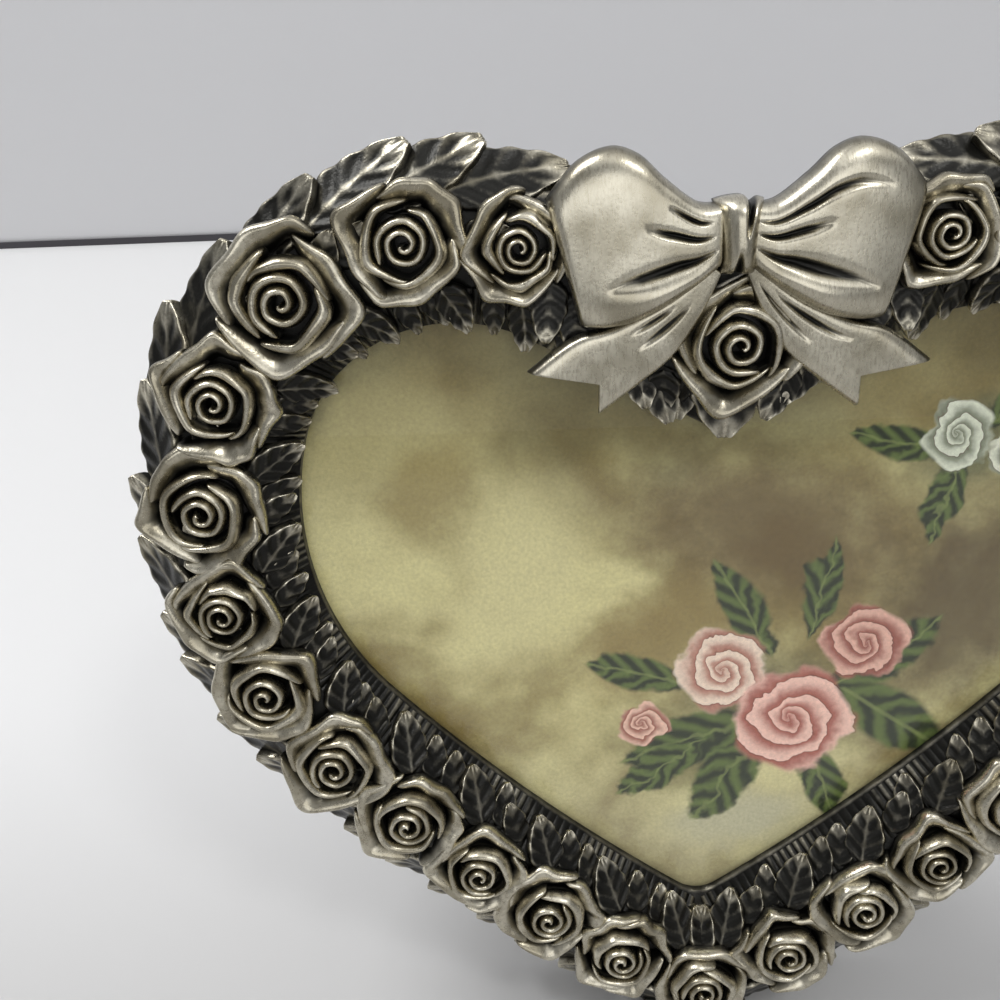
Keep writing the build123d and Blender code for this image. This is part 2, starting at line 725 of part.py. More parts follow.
def leg_blank(thickness, foot_gap):
    """The tapered outline of the leg with its arched foot, stopping short of the floor by a gap."""
    top = -(KNUCKLE_RADIUS + LEG_TOP_GAP)
    end = -(LEG_REACH + LEG_THICKNESS) if foot_gap == 0 else foot_gap - LEG_REACH
    half_top = LEG_TOP_WIDTH / 2
    half_foot = LEG_FOOT_WIDTH / 2
    corners = [(-half_top, top), (half_top, top), (half_foot, end), (-half_foot, end)]
    blank = extrude(facing_front(Polyline(*corners, close=True)), thickness)
    blank = fillet(blank.edges().filter_by(Axis.Z).group_by(Axis.Y)[-1], LEG_CORNER_RADIUS)
    arch_radius = (LEG_ARCH_WIDTH**2 / 4 + LEG_ARCH_RISE**2) / (2 * LEG_ARCH_RISE)
    arch_y = -LEG_REACH + LEG_ARCH_RISE - arch_radius
    return blank - Pos(0, arch_y, 0) * extrude(Circle(arch_radius + foot_gap), thickness)


def leg_rivet_holes():
    """The holes for the moving leaf's rivets, through the leg and its velvet."""
    deep = KNUCKLE_RADIUS
    return [upright(RIVET_RADIUS, -deep, deep, point) for point in moving_rivet_points()]


def easel_board(staple):
    """The leg's board, round the pin's own frame, with its rivet holes and staple holes."""
    board = Pos(0, 0, VELVET_THICKNESS - KNUCKLE_BORE) * leg_blank(LEG_THICKNESS, 0)
    return board - leg_rivet_holes() - staple


def easel_velvet(staple):
    """The velvet on the leg's rear face and on its front face."""
    skin = leg_blank(VELVET_THICKNESS, LEG_VELVET_FOOT_GAP)
    rear = Pos(0, 0, -KNUCKLE_BORE) * skin - leg_rivet_holes()
    front = Pos(0, 0, LEG_FRONT - VELVET_THICKNESS) * skin - leg_rivet_holes() - staple
    return [rear, front]


def back_rivet_holes():
    """The holes for the fixed leaf's rivets, through the back board and its velvet."""
    points = [point + Vector(0, HINGE_UP) for point in fixed_rivet_points()]
    return [upright(RIVET_RADIUS, 0, BOARD_FRONT, point) for point in points]


def back_board(staple):
    """The board that closes the pocket, with its rivet holes and staple holes."""
    return pocket_sheet(BOARD_REAR, BACK_BOARD_THICKNESS) - back_rivet_holes() - staple


def back_velvet(staple):
    """The velvet on the rear of the back board."""
    return pocket_sheet(REAR_RECESS, VELVET_THICKNESS) - back_rivet_holes() - staple


def staple():
    """A wire staple that grips the stay, its crown behind z = 0 and its legs in front."""
    half = STAY_WIDTH / 2 + STAPLE_SIDE_GAP
    crown = Pos(0, 0, -STAPLE_WIRE / 2) * Box(2 * (half + STAPLE_WIRE), STAPLE_WIRE, STAPLE_WIRE)
    depth = STAY_THICKNESS + 2 * STAY_PLAY + STAPLE_DEPTH
    leg = Pos(half + STAPLE_WIRE / 2, 0, depth / 2) * Box(STAPLE_WIRE, STAPLE_WIRE, depth)
    return crown + leg + mirror(leg, Plane.YZ)


def stay_points():
    """The middle of the stay's thickness, in the pin's frame: tab, span and tab."""
    rear = KNUCKLE_RADIUS - STAY_PLAY - STAY_THICKNESS / 2
    front = LEG_FRONT + STAY_PLAY + STAY_THICKNESS / 2
    opened = Rot(EASEL_OPEN, 0, 0)
    on_leg = [opened * Pos(0, -down, front) for down in (STAY_DOWN, STAY_DOWN + STAY_TAB)]
    on_back = [Pos(0, -down, rear) for down in (STAY_DOWN + STAY_TAB, STAY_DOWN)]
    return [place.position for place in on_back + on_leg]


def stay_ribbon():
    """The flat ribbon between the back and the leg, in the pin's frame, taut with the leg open."""
    points = stay_points()
    path = FilletPolyline(*points, radius=STAY_BEND_RADIUS)
    start = Plane(origin=points[0], x_dir=(1, 0, 0), z_dir=points[1] - points[0])
    return sweep(start * Rectangle(STAY_WIDTH, STAY_THICKNESS), path)


def build_nodes():
    """Every node of the frame, standing on its tip and its open leg."""
    tab_middle = STAY_DOWN + STAY_TAB / 2
    gap = STAY_THICKNESS + 2 * STAY_PLAY
    in_back = Pos(0, HINGE_UP - tab_middle, REAR_RECESS - gap) * staple()
    in_leg = Pos(0, -tab_middle, LEG_FRONT + gap) * Rot(180, 0, 0) * staple()
    nodes = {
        "wreath_casting": above_floor(STAND * wreath_casting()),
        "bow_casting": STAND * bow_casting(),
        "bow_screws": [STAND * screw for screw in bow_screws()],
        "glass_pane": STAND * pocket_sheet(PRINT_FRONT, GLASS_THICKNESS),
        "picture_print": STAND * pocket_sheet(FILLER_FRONT, PRINT_THICKNESS),
        "filler_card": STAND * pocket_sheet(BOARD_FRONT, FILLER_THICKNESS),
        "back_board": STAND * back_board(in_back),
        "back_velvet": STAND * back_velvet(in_back),
        "back_staple": STAND * in_back,
        "hinge_fixed_leaf": HINGE * hinge_fixed_leaf(),
        "hinge_fixed_rivets": [HINGE * rivet for rivet in hinge_fixed_rivets()],
        "hinge_pin": HINGE * hinge_pin(),
        "hinge_moving_leaf": LEG * hinge_moving_leaf(),
        "hinge_moving_rivets": [LEG * rivet for rivet in hinge_moving_rivets()],
        "easel_board": above_floor(LEG * easel_board(in_leg)),
        "easel_velvet": [LEG * skin for skin in easel_velvet(in_leg)],
        "easel_staple": LEG * in_leg,
        "stay_ribbon": HINGE * stay_ribbon(),
        "turn_button_screws": [STAND * screw for screw in turn_button_screws()],
    }
    for number, button in enumerate(turn_buttons(), 1):
        nodes[f"turn_button_{number}"] = STAND * button
    return nodes


os.makedirs("parts", exist_ok=True)
for name, shape in build_nodes().items():
    pieces = shape if isinstance(shape, list) else [shape]
    solids = [solid for piece in pieces for solid in piece.solids()]
    export_step(Compound(solids), f"parts/{name}.step")
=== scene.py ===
import json
import random
from math import atan2, cos, degrees, exp, floor, hypot, pi, radians, sin, sqrt, tan

import bmesh
import bpy
from mathutils import Matrix, Vector
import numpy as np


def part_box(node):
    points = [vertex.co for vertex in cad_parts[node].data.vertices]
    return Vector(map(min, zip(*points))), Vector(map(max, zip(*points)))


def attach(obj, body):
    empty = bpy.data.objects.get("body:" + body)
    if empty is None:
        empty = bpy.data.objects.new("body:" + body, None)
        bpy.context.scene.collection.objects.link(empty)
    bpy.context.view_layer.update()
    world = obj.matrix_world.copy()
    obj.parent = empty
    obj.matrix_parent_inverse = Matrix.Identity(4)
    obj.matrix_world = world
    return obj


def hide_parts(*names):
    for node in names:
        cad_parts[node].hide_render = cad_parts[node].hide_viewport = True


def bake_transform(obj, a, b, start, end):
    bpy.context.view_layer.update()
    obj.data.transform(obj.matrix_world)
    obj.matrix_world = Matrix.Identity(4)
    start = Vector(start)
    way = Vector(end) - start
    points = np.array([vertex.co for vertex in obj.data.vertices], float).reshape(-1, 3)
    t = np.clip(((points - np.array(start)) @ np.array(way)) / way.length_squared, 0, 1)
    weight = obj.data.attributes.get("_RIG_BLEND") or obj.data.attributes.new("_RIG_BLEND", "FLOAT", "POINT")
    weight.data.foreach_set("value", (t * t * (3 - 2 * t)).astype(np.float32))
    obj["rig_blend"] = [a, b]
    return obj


# Heart shaped photo frame: the looks of the cast garland, its bow, the picture and the easel back.
#
# Pieces are drawn in millimetres with the frame's face flat: x to the viewer's right, y up the
# face, z towards the viewer, and z = 0 on the rear rim of the casting. FACE then stands them up.

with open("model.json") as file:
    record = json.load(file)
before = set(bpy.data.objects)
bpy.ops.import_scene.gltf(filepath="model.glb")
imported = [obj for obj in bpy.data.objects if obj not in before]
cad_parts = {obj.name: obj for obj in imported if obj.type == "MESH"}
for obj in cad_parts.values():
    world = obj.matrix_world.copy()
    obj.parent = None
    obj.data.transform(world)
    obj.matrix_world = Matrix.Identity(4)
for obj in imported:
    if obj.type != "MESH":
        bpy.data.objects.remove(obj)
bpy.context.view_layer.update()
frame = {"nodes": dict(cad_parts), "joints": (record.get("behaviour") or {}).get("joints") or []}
joints = {joint["name"]: joint for joint in frame["joints"]}

# The hinge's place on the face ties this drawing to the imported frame. FACE takes a drawn point to the
# frame, UPRIGHT takes it back, and FLOOR_NORMAL is the floor's way up on the drawing.
HINGE_UP = 18.0
HINGE_Z = -1.4
MM = 0.001
facing = Vector(joints["turn_button_1_swivel"]["axis"])
lean = atan2(facing.z, -facing.y)
turned = Matrix.Rotation(radians(90) - lean, 4, "X") @ Matrix.Scale(MM, 4)
hinge_pin = Vector(joints["easel_hinge"]["pos_m"])
FACE = Matrix.Translation(hinge_pin - turned @ Vector((0, HINGE_UP, HINGE_Z))) @ turned
UPRIGHT = FACE.inverted()
FLOOR_NORMAL = (UPRIGHT.to_3x3() @ Vector((0, 0, 1))).normalized()

# Garland line, from the heart's tip up one side to its notch, and heights from the rear rim.
TIP_DROP = 62.2
FLANK_START = 32.6
FLANK_RADIUS = 285.0
FLANK_END = 46.9
SIDE_RADIUS = 52.9
SIDE_END = 106.2
LOBE_RADIUS = 33.1
LOBE_END = 208.0
NOTCH_Y = 43.75
OPENING_INSET = 11.5
SKIRT_OUTSET = 9.4
TIP_ROUND = 17.0
WINDOW_TIP_ROUND = 5.0
SEAT = 5.1
LIP_TOP = 6.4
CREST = 11.4
POCKET_INSET = 8.5
CHANNEL_DEPTH = 8.0
# Points on the tip's arc, the three arcs of a side and its straight run.
STATIONS = (5, 26, 24, 24, 6)

# Roses of one side: places along the line, and radii as shares of one radius, from the photograph.
ROSE_RADIUS = 8.6
ROSE_HEIGHT = 4.6
ROSE_LENGTH_SHARES = (0.076, 0.144, 0.209, 0.277, 0.346, 0.419, 0.485, 0.558, 0.633, 0.711, 0.793, 0.861)
ROSE_RADIUS_SHARES = (0.87, 0.92, 0.87, 0.94, 0.97, 0.97, 0.90, 1.00, 0.92, 1.12, 0.94, 0.83)


def polar(radius, degrees, z=0.0):
    """The point at a radius and an angle from the x axis."""
    angle = radians(degrees)
    return Vector((radius * cos(angle), radius * sin(angle), z))


def garland_arcs(outset):
    """The arcs of the left half of the garland line, parallel at an outset."""
    start = Vector((0, -TIP_DROP, 0))
    arcs = []
    for radius, heading, end in (
        (FLANK_RADIUS, FLANK_START, FLANK_END),
        (SIDE_RADIUS, FLANK_END, SIDE_END),
        (LOBE_RADIUS, SIDE_END, LOBE_END),
    ):
        centre = start - polar(radius, 270 - heading)
        arcs.append((centre, radius + outset, heading, end))
        start = centre + polar(radius, 270 - end)
    return arcs


def run_ends(outset):
    """The straight run from the lobe to the notch, parallel at an outset."""
    centre, radius, _, _ = garland_arcs(outset)[-1]
    start = centre + polar(radius, 270 - LOBE_END)
    return start, Vector((0, start.y + start.x * tan(radians(LOBE_END)), 0))


def place(share, outset=0.0):
    """The point at a share of the left half line's length, and the way outward there, in degrees."""
    arcs = garland_arcs(0)
    start, end = run_ends(0)
    lengths = [radius * radians(last - first) for _, radius, first, last in arcs]
    lengths.append((end - start).length)
    left = share * sum(lengths)
    for (centre, radius, heading, _), length in zip(arcs, lengths):
        if left <= length:
            outward = 270 - heading - degrees(left / radius)
            return centre + polar(radius + outset, outward), outward
        left -= length
    outward = 270 - LOBE_END
    return start + (end - start) * (left / lengths[-1]) + polar(outset, outward), outward


def heart_loop(outset, tip_round):
    """The points of a closed heart at an outset, its tip rounded, up the left side and down the right."""
    arcs = garland_arcs(outset)
    centre, radius, _, end = arcs[0]
    tip_y = centre.y - sqrt((radius - tip_round) ** 2 - centre.x**2)
    tangent = degrees(atan2(abs(centre.x), centre.y - tip_y))
    pieces = [(Vector((0, tip_y, 0)), tip_round, 0, tangent), (centre, radius, tangent, end)]
    points = []
    for (middle, reach, first, last), count in zip(pieces + arcs[1:], STATIONS):
        for step in range(count):
            points.append(middle + polar(reach, 270 - first - (last - first) * step / count))
    start, finish = run_ends(outset)
    points += [start.lerp(finish, step / STATIONS[-1]) for step in range(STATIONS[-1])]
    mirrored = [Vector((-p.x, p.y, 0)) for p in reversed(points[1:])]
    return points + [finish] + mirrored


def new_bmesh():
    """An empty mesh with the layer that says how bright a spot is worn; on the bow it also holds painted
    shade.
    """
    bm = bmesh.new()
    bm.verts.layers.float.new("wear_and_shade")
    return bm


def finish_piece(name, bm, material, body="frame", replaced=(), stands=FACE):
    """Makes the mesh a smooth object, stands it up in the frame and lets it ride on its body."""
    bmesh.ops.recalc_face_normals(bm, faces=bm.faces)
    mesh = bpy.data.meshes.new(name)
    bm.to_mesh(mesh)
    bm.free()
    mesh.transform(stands)
    mesh.polygons.foreach_set("use_smooth", [True] * len(mesh.polygons))
    mesh.materials.append(material)
    piece = bpy.data.objects.new(name, mesh)
    bpy.context.scene.collection.objects.link(piece)
    if body:
        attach(piece, body)
    if replaced:
        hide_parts(*replaced)
    return piece


def subdivide(piece, levels):
    """Rounds a piece off with a subdivision surface."""
    modifier = piece.modifiers.new("rounded", "SUBSURF")
    modifier.levels = levels
    modifier.render_levels = levels


def new_grid(bm, columns, rows, size=0.5):
    """The points of a flat grid, which the caller shapes, and its faces."""
    grid = bmesh.ops.create_grid(bm, x_segments=columns, y_segments=rows, size=size)["verts"]
    return grid, {face for vert in grid for face in vert.link_faces}


def points_in(geometry):
    """The points among mixed geometry."""
    return [item for item in geometry if isinstance(item, bmesh.types.BMVert)]


def rear_of(bm, faces):
    """The points of a shaped grid's rear, made by extruding it, still in their old place."""
    return points_in(bmesh.ops.extrude_face_region(bm, geom=list(faces), use_keep_orig=True)["geom"])


def sweep(bm, rings, closed=False):
    """A skin through rings, each extruded from the last. A ring is its points and how worn they are."""
    wear_and_shade = bm.verts.layers.float["wear_and_shade"]
    order = bm.verts.layers.int.get("order") or bm.verts.layers.int.new("order")
    section, wear_and_shade_level = rings[0]
    ring = [bm.verts.new(point) for point in section]
    for number, vert in enumerate(ring):
        vert[order] = number
        vert[wear_and_shade] = wear_and_shade_level[number]
    edges = [bm.edges.new((ring[n - 1], ring[n])) for n in range(len(ring))]
    first = edges
    if not closed:
        bm.faces.new(ring)
    for section, wear_and_shade_level in rings[1:]:
        made = bmesh.ops.extrude_edge_only(bm, edges=edges)["geom"]
        edges = [item for item in made if isinstance(item, bmesh.types.BMEdge)]
        for vert in points_in(made):
            vert.co = section[vert[order]]
            vert[wear_and_shade] = wear_and_shade_level[vert[order]]
    if closed:
        bmesh.ops.bridge_loops(bm, edges=first + edges)
    else:
        bmesh.ops.contextual_create(bm, geom=edges)


# Materials. Each is built from a few node calls on Object coordinates or on the wear_and_shade attribute,
# which holds wear and, on the bow, painted shade.


class Shader:
    """A small hand for building a node material."""

    def __init__(self, name):
        self.material = bpy.data.materials.new(name)
        self.material.use_nodes = True
        self.tree = self.material.node_tree
        self.surface = self.tree.nodes["Principled BSDF"]
        self.object = self.node("ShaderNodeTexCoord").outputs["Object"]

    def node(self, kind, inputs=None, **settings):
        made = self.tree.nodes.new(kind)
        for key, value in settings.items():
            setattr(made, key, value)
        for key, value in (inputs or {}).items():
            self.feed(made.inputs[key], value)
        return made

    def feed(self, socket, value):
        if isinstance(value, bpy.types.NodeSocket):
            self.tree.links.new(value, socket)
        else:
            socket.default_value = value

    def set(self, **values):
        for key, value in values.items():
            self.feed(self.surface.inputs[key.replace("_", " ")], value)

    def attribute(self, name):
        return self.node("ShaderNodeAttribute", attribute_name=name).outputs["Fac"]

    def stretch(self, scale):
        return self.node("ShaderNodeMapping", {"Vector": self.object, "Scale": scale}).outputs[0]

    def noise(self, scale, detail=3.0, roughness=0.55, vector=None, distortion=0.0):
        values = {"Vector": vector or self.object, "Scale": scale, "Detail": detail}
        values.update({"Roughness": roughness, "Distortion": distortion})
        return self.node("ShaderNodeTexNoise", values).outputs[0]

    def math(self, operation, a, b=0.0, c=0.0):
        return self.node("ShaderNodeMath", {0: a, 1: b, 2: c}, operation=operation).outputs[0]

    def ramp(self, value, low, high, out_low=0.0, out_high=1.0):
        values = {0: value, 1: low, 2: high, 3: out_low, 4: out_high}
        return self.node("ShaderNodeMapRange", values, interpolation_type="SMOOTHSTEP").outputs[0]

    def mix(self, share, low, high):
        return self.node("ShaderNodeMix", {0: share, 6: low, 7: high}, data_type="RGBA").outputs[2]

    def bump(self, height, distance, strength=1.0):
        values = {"Height": height, "Distance": distance, "Strength": strength}
        return self.node("ShaderNodeBump", values).outputs[0]


def rgb(red, green, blue):
    """A colour given in the 0 to 255 shades of a screen, for a socket."""
    shades = [(value / 255) ** 2.2 for value in (red, green, blue)]
    return (*shades, 1.0)


def pewter(name, brushed, polish, streaks, grain, patina=(14, 40), clouds=1.0):
    """Antiqued pewter: black patina in the recesses, brushed bright where it is worn, and dark where the
    bow's attribute holds painted shade.
    """
    shader = Shader(name)
    wear_and_shade_level = shader.attribute("wear_and_shade")
    blotch = shader.noise(420, 4.0, 0.6)
    edge = shader.math("MULTIPLY_ADD", blotch, 0.34, shader.math("ADD", wear_and_shade_level, -0.17 + polish))
    share = shader.ramp(edge, 0.16, 0.74)
    streak = shader.noise(1, 3.0, 0.7, shader.stretch(brushed))
    band = shader.ramp(streak, 0.3, 0.7, 0.5 - 0.5 * streaks, 0.5 + 0.5 * streaks)
    bright = shader.mix(band, rgb(186, 180, 162), rgb(226, 220, 202))
    cloud = shader.ramp(shader.noise(160, 2.0), 0.35, 0.7, 0.0, clouds)
    darkening = shader.mix(cloud, bright, rgb(158, 151, 132))
    darkest, palest = patina
    dark = shader.mix(blotch, rgb(darkest, darkest, darkest - 2), rgb(palest, palest - 1, palest - 5))
    shader.set(Base_Color=shader.mix(share, dark, darkening))
    shader.set(Metallic=shader.ramp(share, 0.0, 0.5, 0.6, 1.0))
    rough = shader.math("MULTIPLY_ADD", streak, 0.14, shader.ramp(share, 0, 1, 0.26, 0.21))
    shader.set(Roughness=rough)
    relief = shader.math("ADD", shader.math("MULTIPLY", streak, 0.6), shader.noise(2600, 2.0))
    shader.set(Normal=shader.bump(relief, 0.00010 * grain, 0.5))
    return shader.material


garland_pewter = pewter("antiqued_pewter_garland", (900, 900, 900), -0.035, 1.0, 0.6)
leaf_pewter = pewter("antiqued_pewter_leaves", (900, 900, 900), -0.12, 1.0, 0.8, (12, 46))
bow_pewter = pewter("antiqued_pewter_bow", (3400, 900, 900), -0.02, 0.6, 0.3, (14, 40), 0.8)


def zinc_finish():
    """Zinc plated steel, faintly spangled and drawn along x."""
    zinc = Shader("zinc_plate")
    spangle = zinc.noise(700, 3.0)
    smudge = zinc.ramp(zinc.noise(170, 3.0), 0.35, 0.7)
    pale = zinc.mix(spangle, rgb(164, 166, 168), rgb(206, 207, 205))
    zinc.set(
        Base_Color=zinc.mix(smudge, pale, rgb(146, 146, 142)), Metallic=1.0,
        Roughness=zinc.math("MULTIPLY_ADD", spangle, 0.16, 0.22),
        Normal=zinc.bump(zinc.noise(1, 3.0, 0.6, zinc.stretch((400, 4000, 4000))), 0.00004, 0.5),
    )
    return zinc.material


zinc_plate = zinc_finish()


# Ring: one skin through the whole cross-section, from the rear rim round to the hollow back. Each level
# has its height, outset and wear.
RING_LEVELS = (
    (0.0, SKIRT_OUTSET - 0.3, 0.5),
    (0.4, SKIRT_OUTSET, 0.7),
    (LIP_TOP - 0.6, SKIRT_OUTSET, 0.35),
    (LIP_TOP + 0.3, SKIRT_OUTSET - 0.5, 0.3),
    (CREST, 3.2, 0.0),
    (CREST, -6.0, 0.0),
    (LIP_TOP, -OPENING_INSET + 0.3, 0.25),
    (LIP_TOP - 0.3, -OPENING_INSET, 0.4),
    (SEAT, -OPENING_INSET, 0.2),
    (SEAT, -POCKET_INSET, 0.2),
    (0.0, -POCKET_INSET, 0.6),
    (0.0, -6.3, 0.6),
    (CHANNEL_DEPTH, -3.8, 0.42),
    (CHANNEL_DEPTH, 4.7, 0.42),
    (0.0, 7.2, 0.5),
)


def casting_ring():
    """The ring that carries the garland, cut level at its foot."""
    bm = new_bmesh()
    rings = []
    for height, outset, wear_and_shade_level in RING_LEVELS:
        loop = heart_loop(outset, TIP_ROUND if outset > 0 else WINDOW_TIP_ROUND)
        rings.append(([point + Vector((0, 0, height)) for point in loop], [wear_and_shade_level] * len(loop)))
    sweep(bm, rings, closed=True)
    geometry = bm.verts[:] + bm.edges[:] + bm.faces[:]
    foot = UPRIGHT @ Vector((0, 0, 0))
    cut = bmesh.ops.bisect_plane(bm, geom=geometry, plane_co=foot, plane_no=FLOOR_NORMAL, clear_inner=True)
    rim = [item for item in cut["geom_cut"] if isinstance(item, bmesh.types.BMEdge)]
    bmesh.ops.holes_fill(bm, edges=rim)
    ring = finish_piece("casting_ring", bm, garland_pewter, replaced=["wreath_casting"])
    ring.data.set_sharp_from_angle(angle=radians(50))


casting_ring()


# Screws in the hollow back: their places on the face, and the sizes of their bosses, shanks and heads.
BUTTON_SCREWS = [
    UPRIGHT @ Vector(joint["pos_m"]) for name, joint in joints.items() if name.startswith("turn_button")
]
BOW_SCREW_SHARE = 0.93
bow_screw = place(BOW_SCREW_SHARE)[0]
BOW_SCREWS = [Vector((side * bow_screw.x, bow_screw.y, 0)) for side in (1, -1)]
BUTTON_BOSS_RADIUS = 2.9
BOW_BOSS_RADIUS = 3.2
BOSS_AIR = 0.02
SCREW_RECESS = 2.4
SCREW_RADIUS = 1.2
SCREW_HEAD_RADIUS = 2.1
SCREW_HEAD_HEIGHT = 1.2
CROSS_DEPTH = 0.6
CROSS_ARM = 0.13
CROSS_REACH = 0.66
BUTTON_STACK = 1.0
BUTTON_SCREW_END = 5.0
BOW_SCREW_END = CREST + 3.6
HEAD_TURN = 23
HEAD_TURN_STEP = 41


def post(bm, spot, radius, start, end, wear_and_shade_level):
    """A round post between two heights over a place on the face."""
    middle = Vector((spot.x, spot.y, (start + end) / 2))
    made = bmesh.ops.create_cone(
        bm, cap_ends=True, segments=40, radius1=radius, radius2=radius, depth=end - start,
        matrix=Matrix.Translation(middle),
    )
    for vert in made["verts"]:
        vert[bm.verts.layers.float["wear_and_shade"]] = wear_and_shade_level


def pan_head(bm, spot, rear, turn):
    """A pan head with a cross recess, that looks to the rear from a height over a place."""
    grid, faces = new_grid(bm, 40, 40, 1.0)
    for vert in grid:
        x, y = vert.co.x, vert.co.y
        reach = max(abs(x), abs(y))
        squeeze = reach / hypot(x, y) if reach else 1.0
        x, y = x * squeeze, y * squeeze
        arm = max(exp(-((x / CROSS_ARM) ** 4)), exp(-((y / CROSS_ARM) ** 4)))
        recess = CROSS_DEPTH * arm * max(0.0, 1 - (reach / CROSS_REACH) ** 6)
        dome = 0.30 + 0.70 * sqrt(max(0.0, 1 - reach**4)) - 0.06 * reach**2
        vert.co = Vector((x * SCREW_HEAD_RADIUS, y * SCREW_HEAD_RADIUS, SCREW_HEAD_HEIGHT * dome - recess))
    base = rear_of(bm, faces)
    for vert in base:
        vert.co.z = 0.0
    stand = Matrix.Translation((spot.x, spot.y, rear)) @ Matrix.Scale(-1, 4, Vector((0, 0, 1)))
    bmesh.ops.transform(bm, matrix=stand @ Matrix.Rotation(radians(turn), 4, "Z"), verts=grid + base)


def screws():
    """The bosses in the hollow back, and the screws of the bow and of the turn buttons."""
    bm = new_bmesh()
    for spot in BUTTON_SCREWS:
        post(bm, spot, BUTTON_BOSS_RADIUS, BOSS_AIR, CHANNEL_DEPTH, 0.5)
    for spot in BOW_SCREWS:
        post(bm, spot, BOW_BOSS_RADIUS, SCREW_RECESS + BOSS_AIR, CHANNEL_DEPTH, 0.5)
    bosses = finish_piece("casting_bosses", bm, garland_pewter)
    bosses.data.set_sharp_from_angle(angle=radians(40))
    for name, spots, rear, end, node in (
        ("button_screws", BUTTON_SCREWS, -BUTTON_STACK, BUTTON_SCREW_END, "turn_button_screws"),
        ("bow_screws_turned", BOW_SCREWS, SCREW_RECESS, BOW_SCREW_END, "bow_screws"),
    ):
        bm = new_bmesh()
        for number, spot in enumerate(spots):
            pan_head(bm, spot, rear, HEAD_TURN + HEAD_TURN_STEP * number)
            post(bm, spot, SCREW_RADIUS, rear, end, 0.0)
        made = finish_piece(name, bm, zinc_plate, replaced=[node])
        made.data.set_sharp_from_angle(angle=radians(50))


screws()


# Roses: lapped petals with angular rims round a rolled bud, each a wall swept along an arc.
# A wall's section: how far from its outer face (as a share of its thickness), its height, and its wear.
DISHED_WALL = (
    (0.0, 0.30, 0.25), (-0.03, 0.72, 0.75), (0.10, 1.0, 1.0),
    (0.34, 0.96, 0.95), (0.64, 0.76, 0.50), (0.97, 0.40, 0.12),
)
UPRIGHT_WALL = (
    (-0.05, 0.30, 0.30), (-0.08, 0.66, 0.85), (0.26, 0.97, 1.0),
    (0.70, 1.0, 1.0), (1.0, 0.80, 0.65), (1.02, 0.35, 0.05),
)
WALL_FOOT = -0.8
WALL_FOOT_SHARE = 0.90
OUTER_STEPS = 15
INNER_STEPS = 13
BUD_STEPS = 27
ROSES_OF_LOW_PIECE = 6


def wall_section(middle, angle, reach, height, thickness, wall):
    """The ring of points across a petal's wall, and how worn each is."""
    foot = reach * WALL_FOOT_SHARE
    outline = [(foot, WALL_FOOT, 0.0)]
    outline += [(reach - inward * thickness, height * high, wear_and_shade_level) for inward, high, wear_and_shade_level in wall]
    outline.append((foot - thickness, WALL_FOOT, 0.0))
    points = [middle + polar(radius, angle, z) for radius, z, _ in outline]
    return points, [wear_and_shade_level for _, _, wear_and_shade_level in outline]


def cornered(angle, sides, phase, share):
    """How much nearer a many-sided outline comes than its circle at an angle, blended by a share."""
    local = (angle + phase) % (360 / sides) - 180 / sides
    near = cos(pi / sides) / cos(radians(local))
    return 1 - share * (1 - near)


def petal(bm, middle, start, span, radius, height, thickness, corners, tuck, steps, shape, wall):
    """One petal: a wall along an arc, tapered at its ends, with flared corners, its far end tucked in.

    Corners give a share along the arc and a size; shape gives the outline's sides, phase and share.
    """
    rings = []
    for step in range(steps + 1):
        share = step / steps
        ends = sin(pi * share) ** 0.5 if 0 < share < 1 else 0.0
        flare = 0.0
        for spot, size in corners:
            flare += size * max(0.0, 1 - abs(share - spot) / 0.15) ** 1.5
        angle = start + span * share
        reach = (radius - tuck * share**2) * cornered(angle, *shape) + 0.9 * flare
        thick = thickness * (0.30 + 0.70 * ends) + 0.75 * flare
        tall = height * (0.72 + 0.28 * ends) - 0.30 * flare
        section, wear_and_shade_level = wall_section(middle, angle, reach, tall, thick, wall)
        rings.append((section, [value * (0.6 + 0.4 * ends) for value in wear_and_shade_level]))
    sweep(bm, rings)


def bud(bm, middle, start, radius, turns, shape):
    """The rolled heart of a rose: one wall that winds in to the middle."""
    rings = []
    for step in range(BUD_STEPS + 1):
        share = step / BUD_STEPS
        angle = start - 360 * turns * share
        reach = radius * (1 - share) ** 0.86 * cornered(angle, *shape) + 0.72 * share
        thick = radius * (0.30 - 0.06 * share) * (0.45 if share == 0 else 1)
        tall = ROSE_HEIGHT * (0.88 + 0.12 * share)
        rings.append(wall_section(middle, angle, reach, tall, thick, UPRIGHT_WALL))
    sweep(bm, rings)


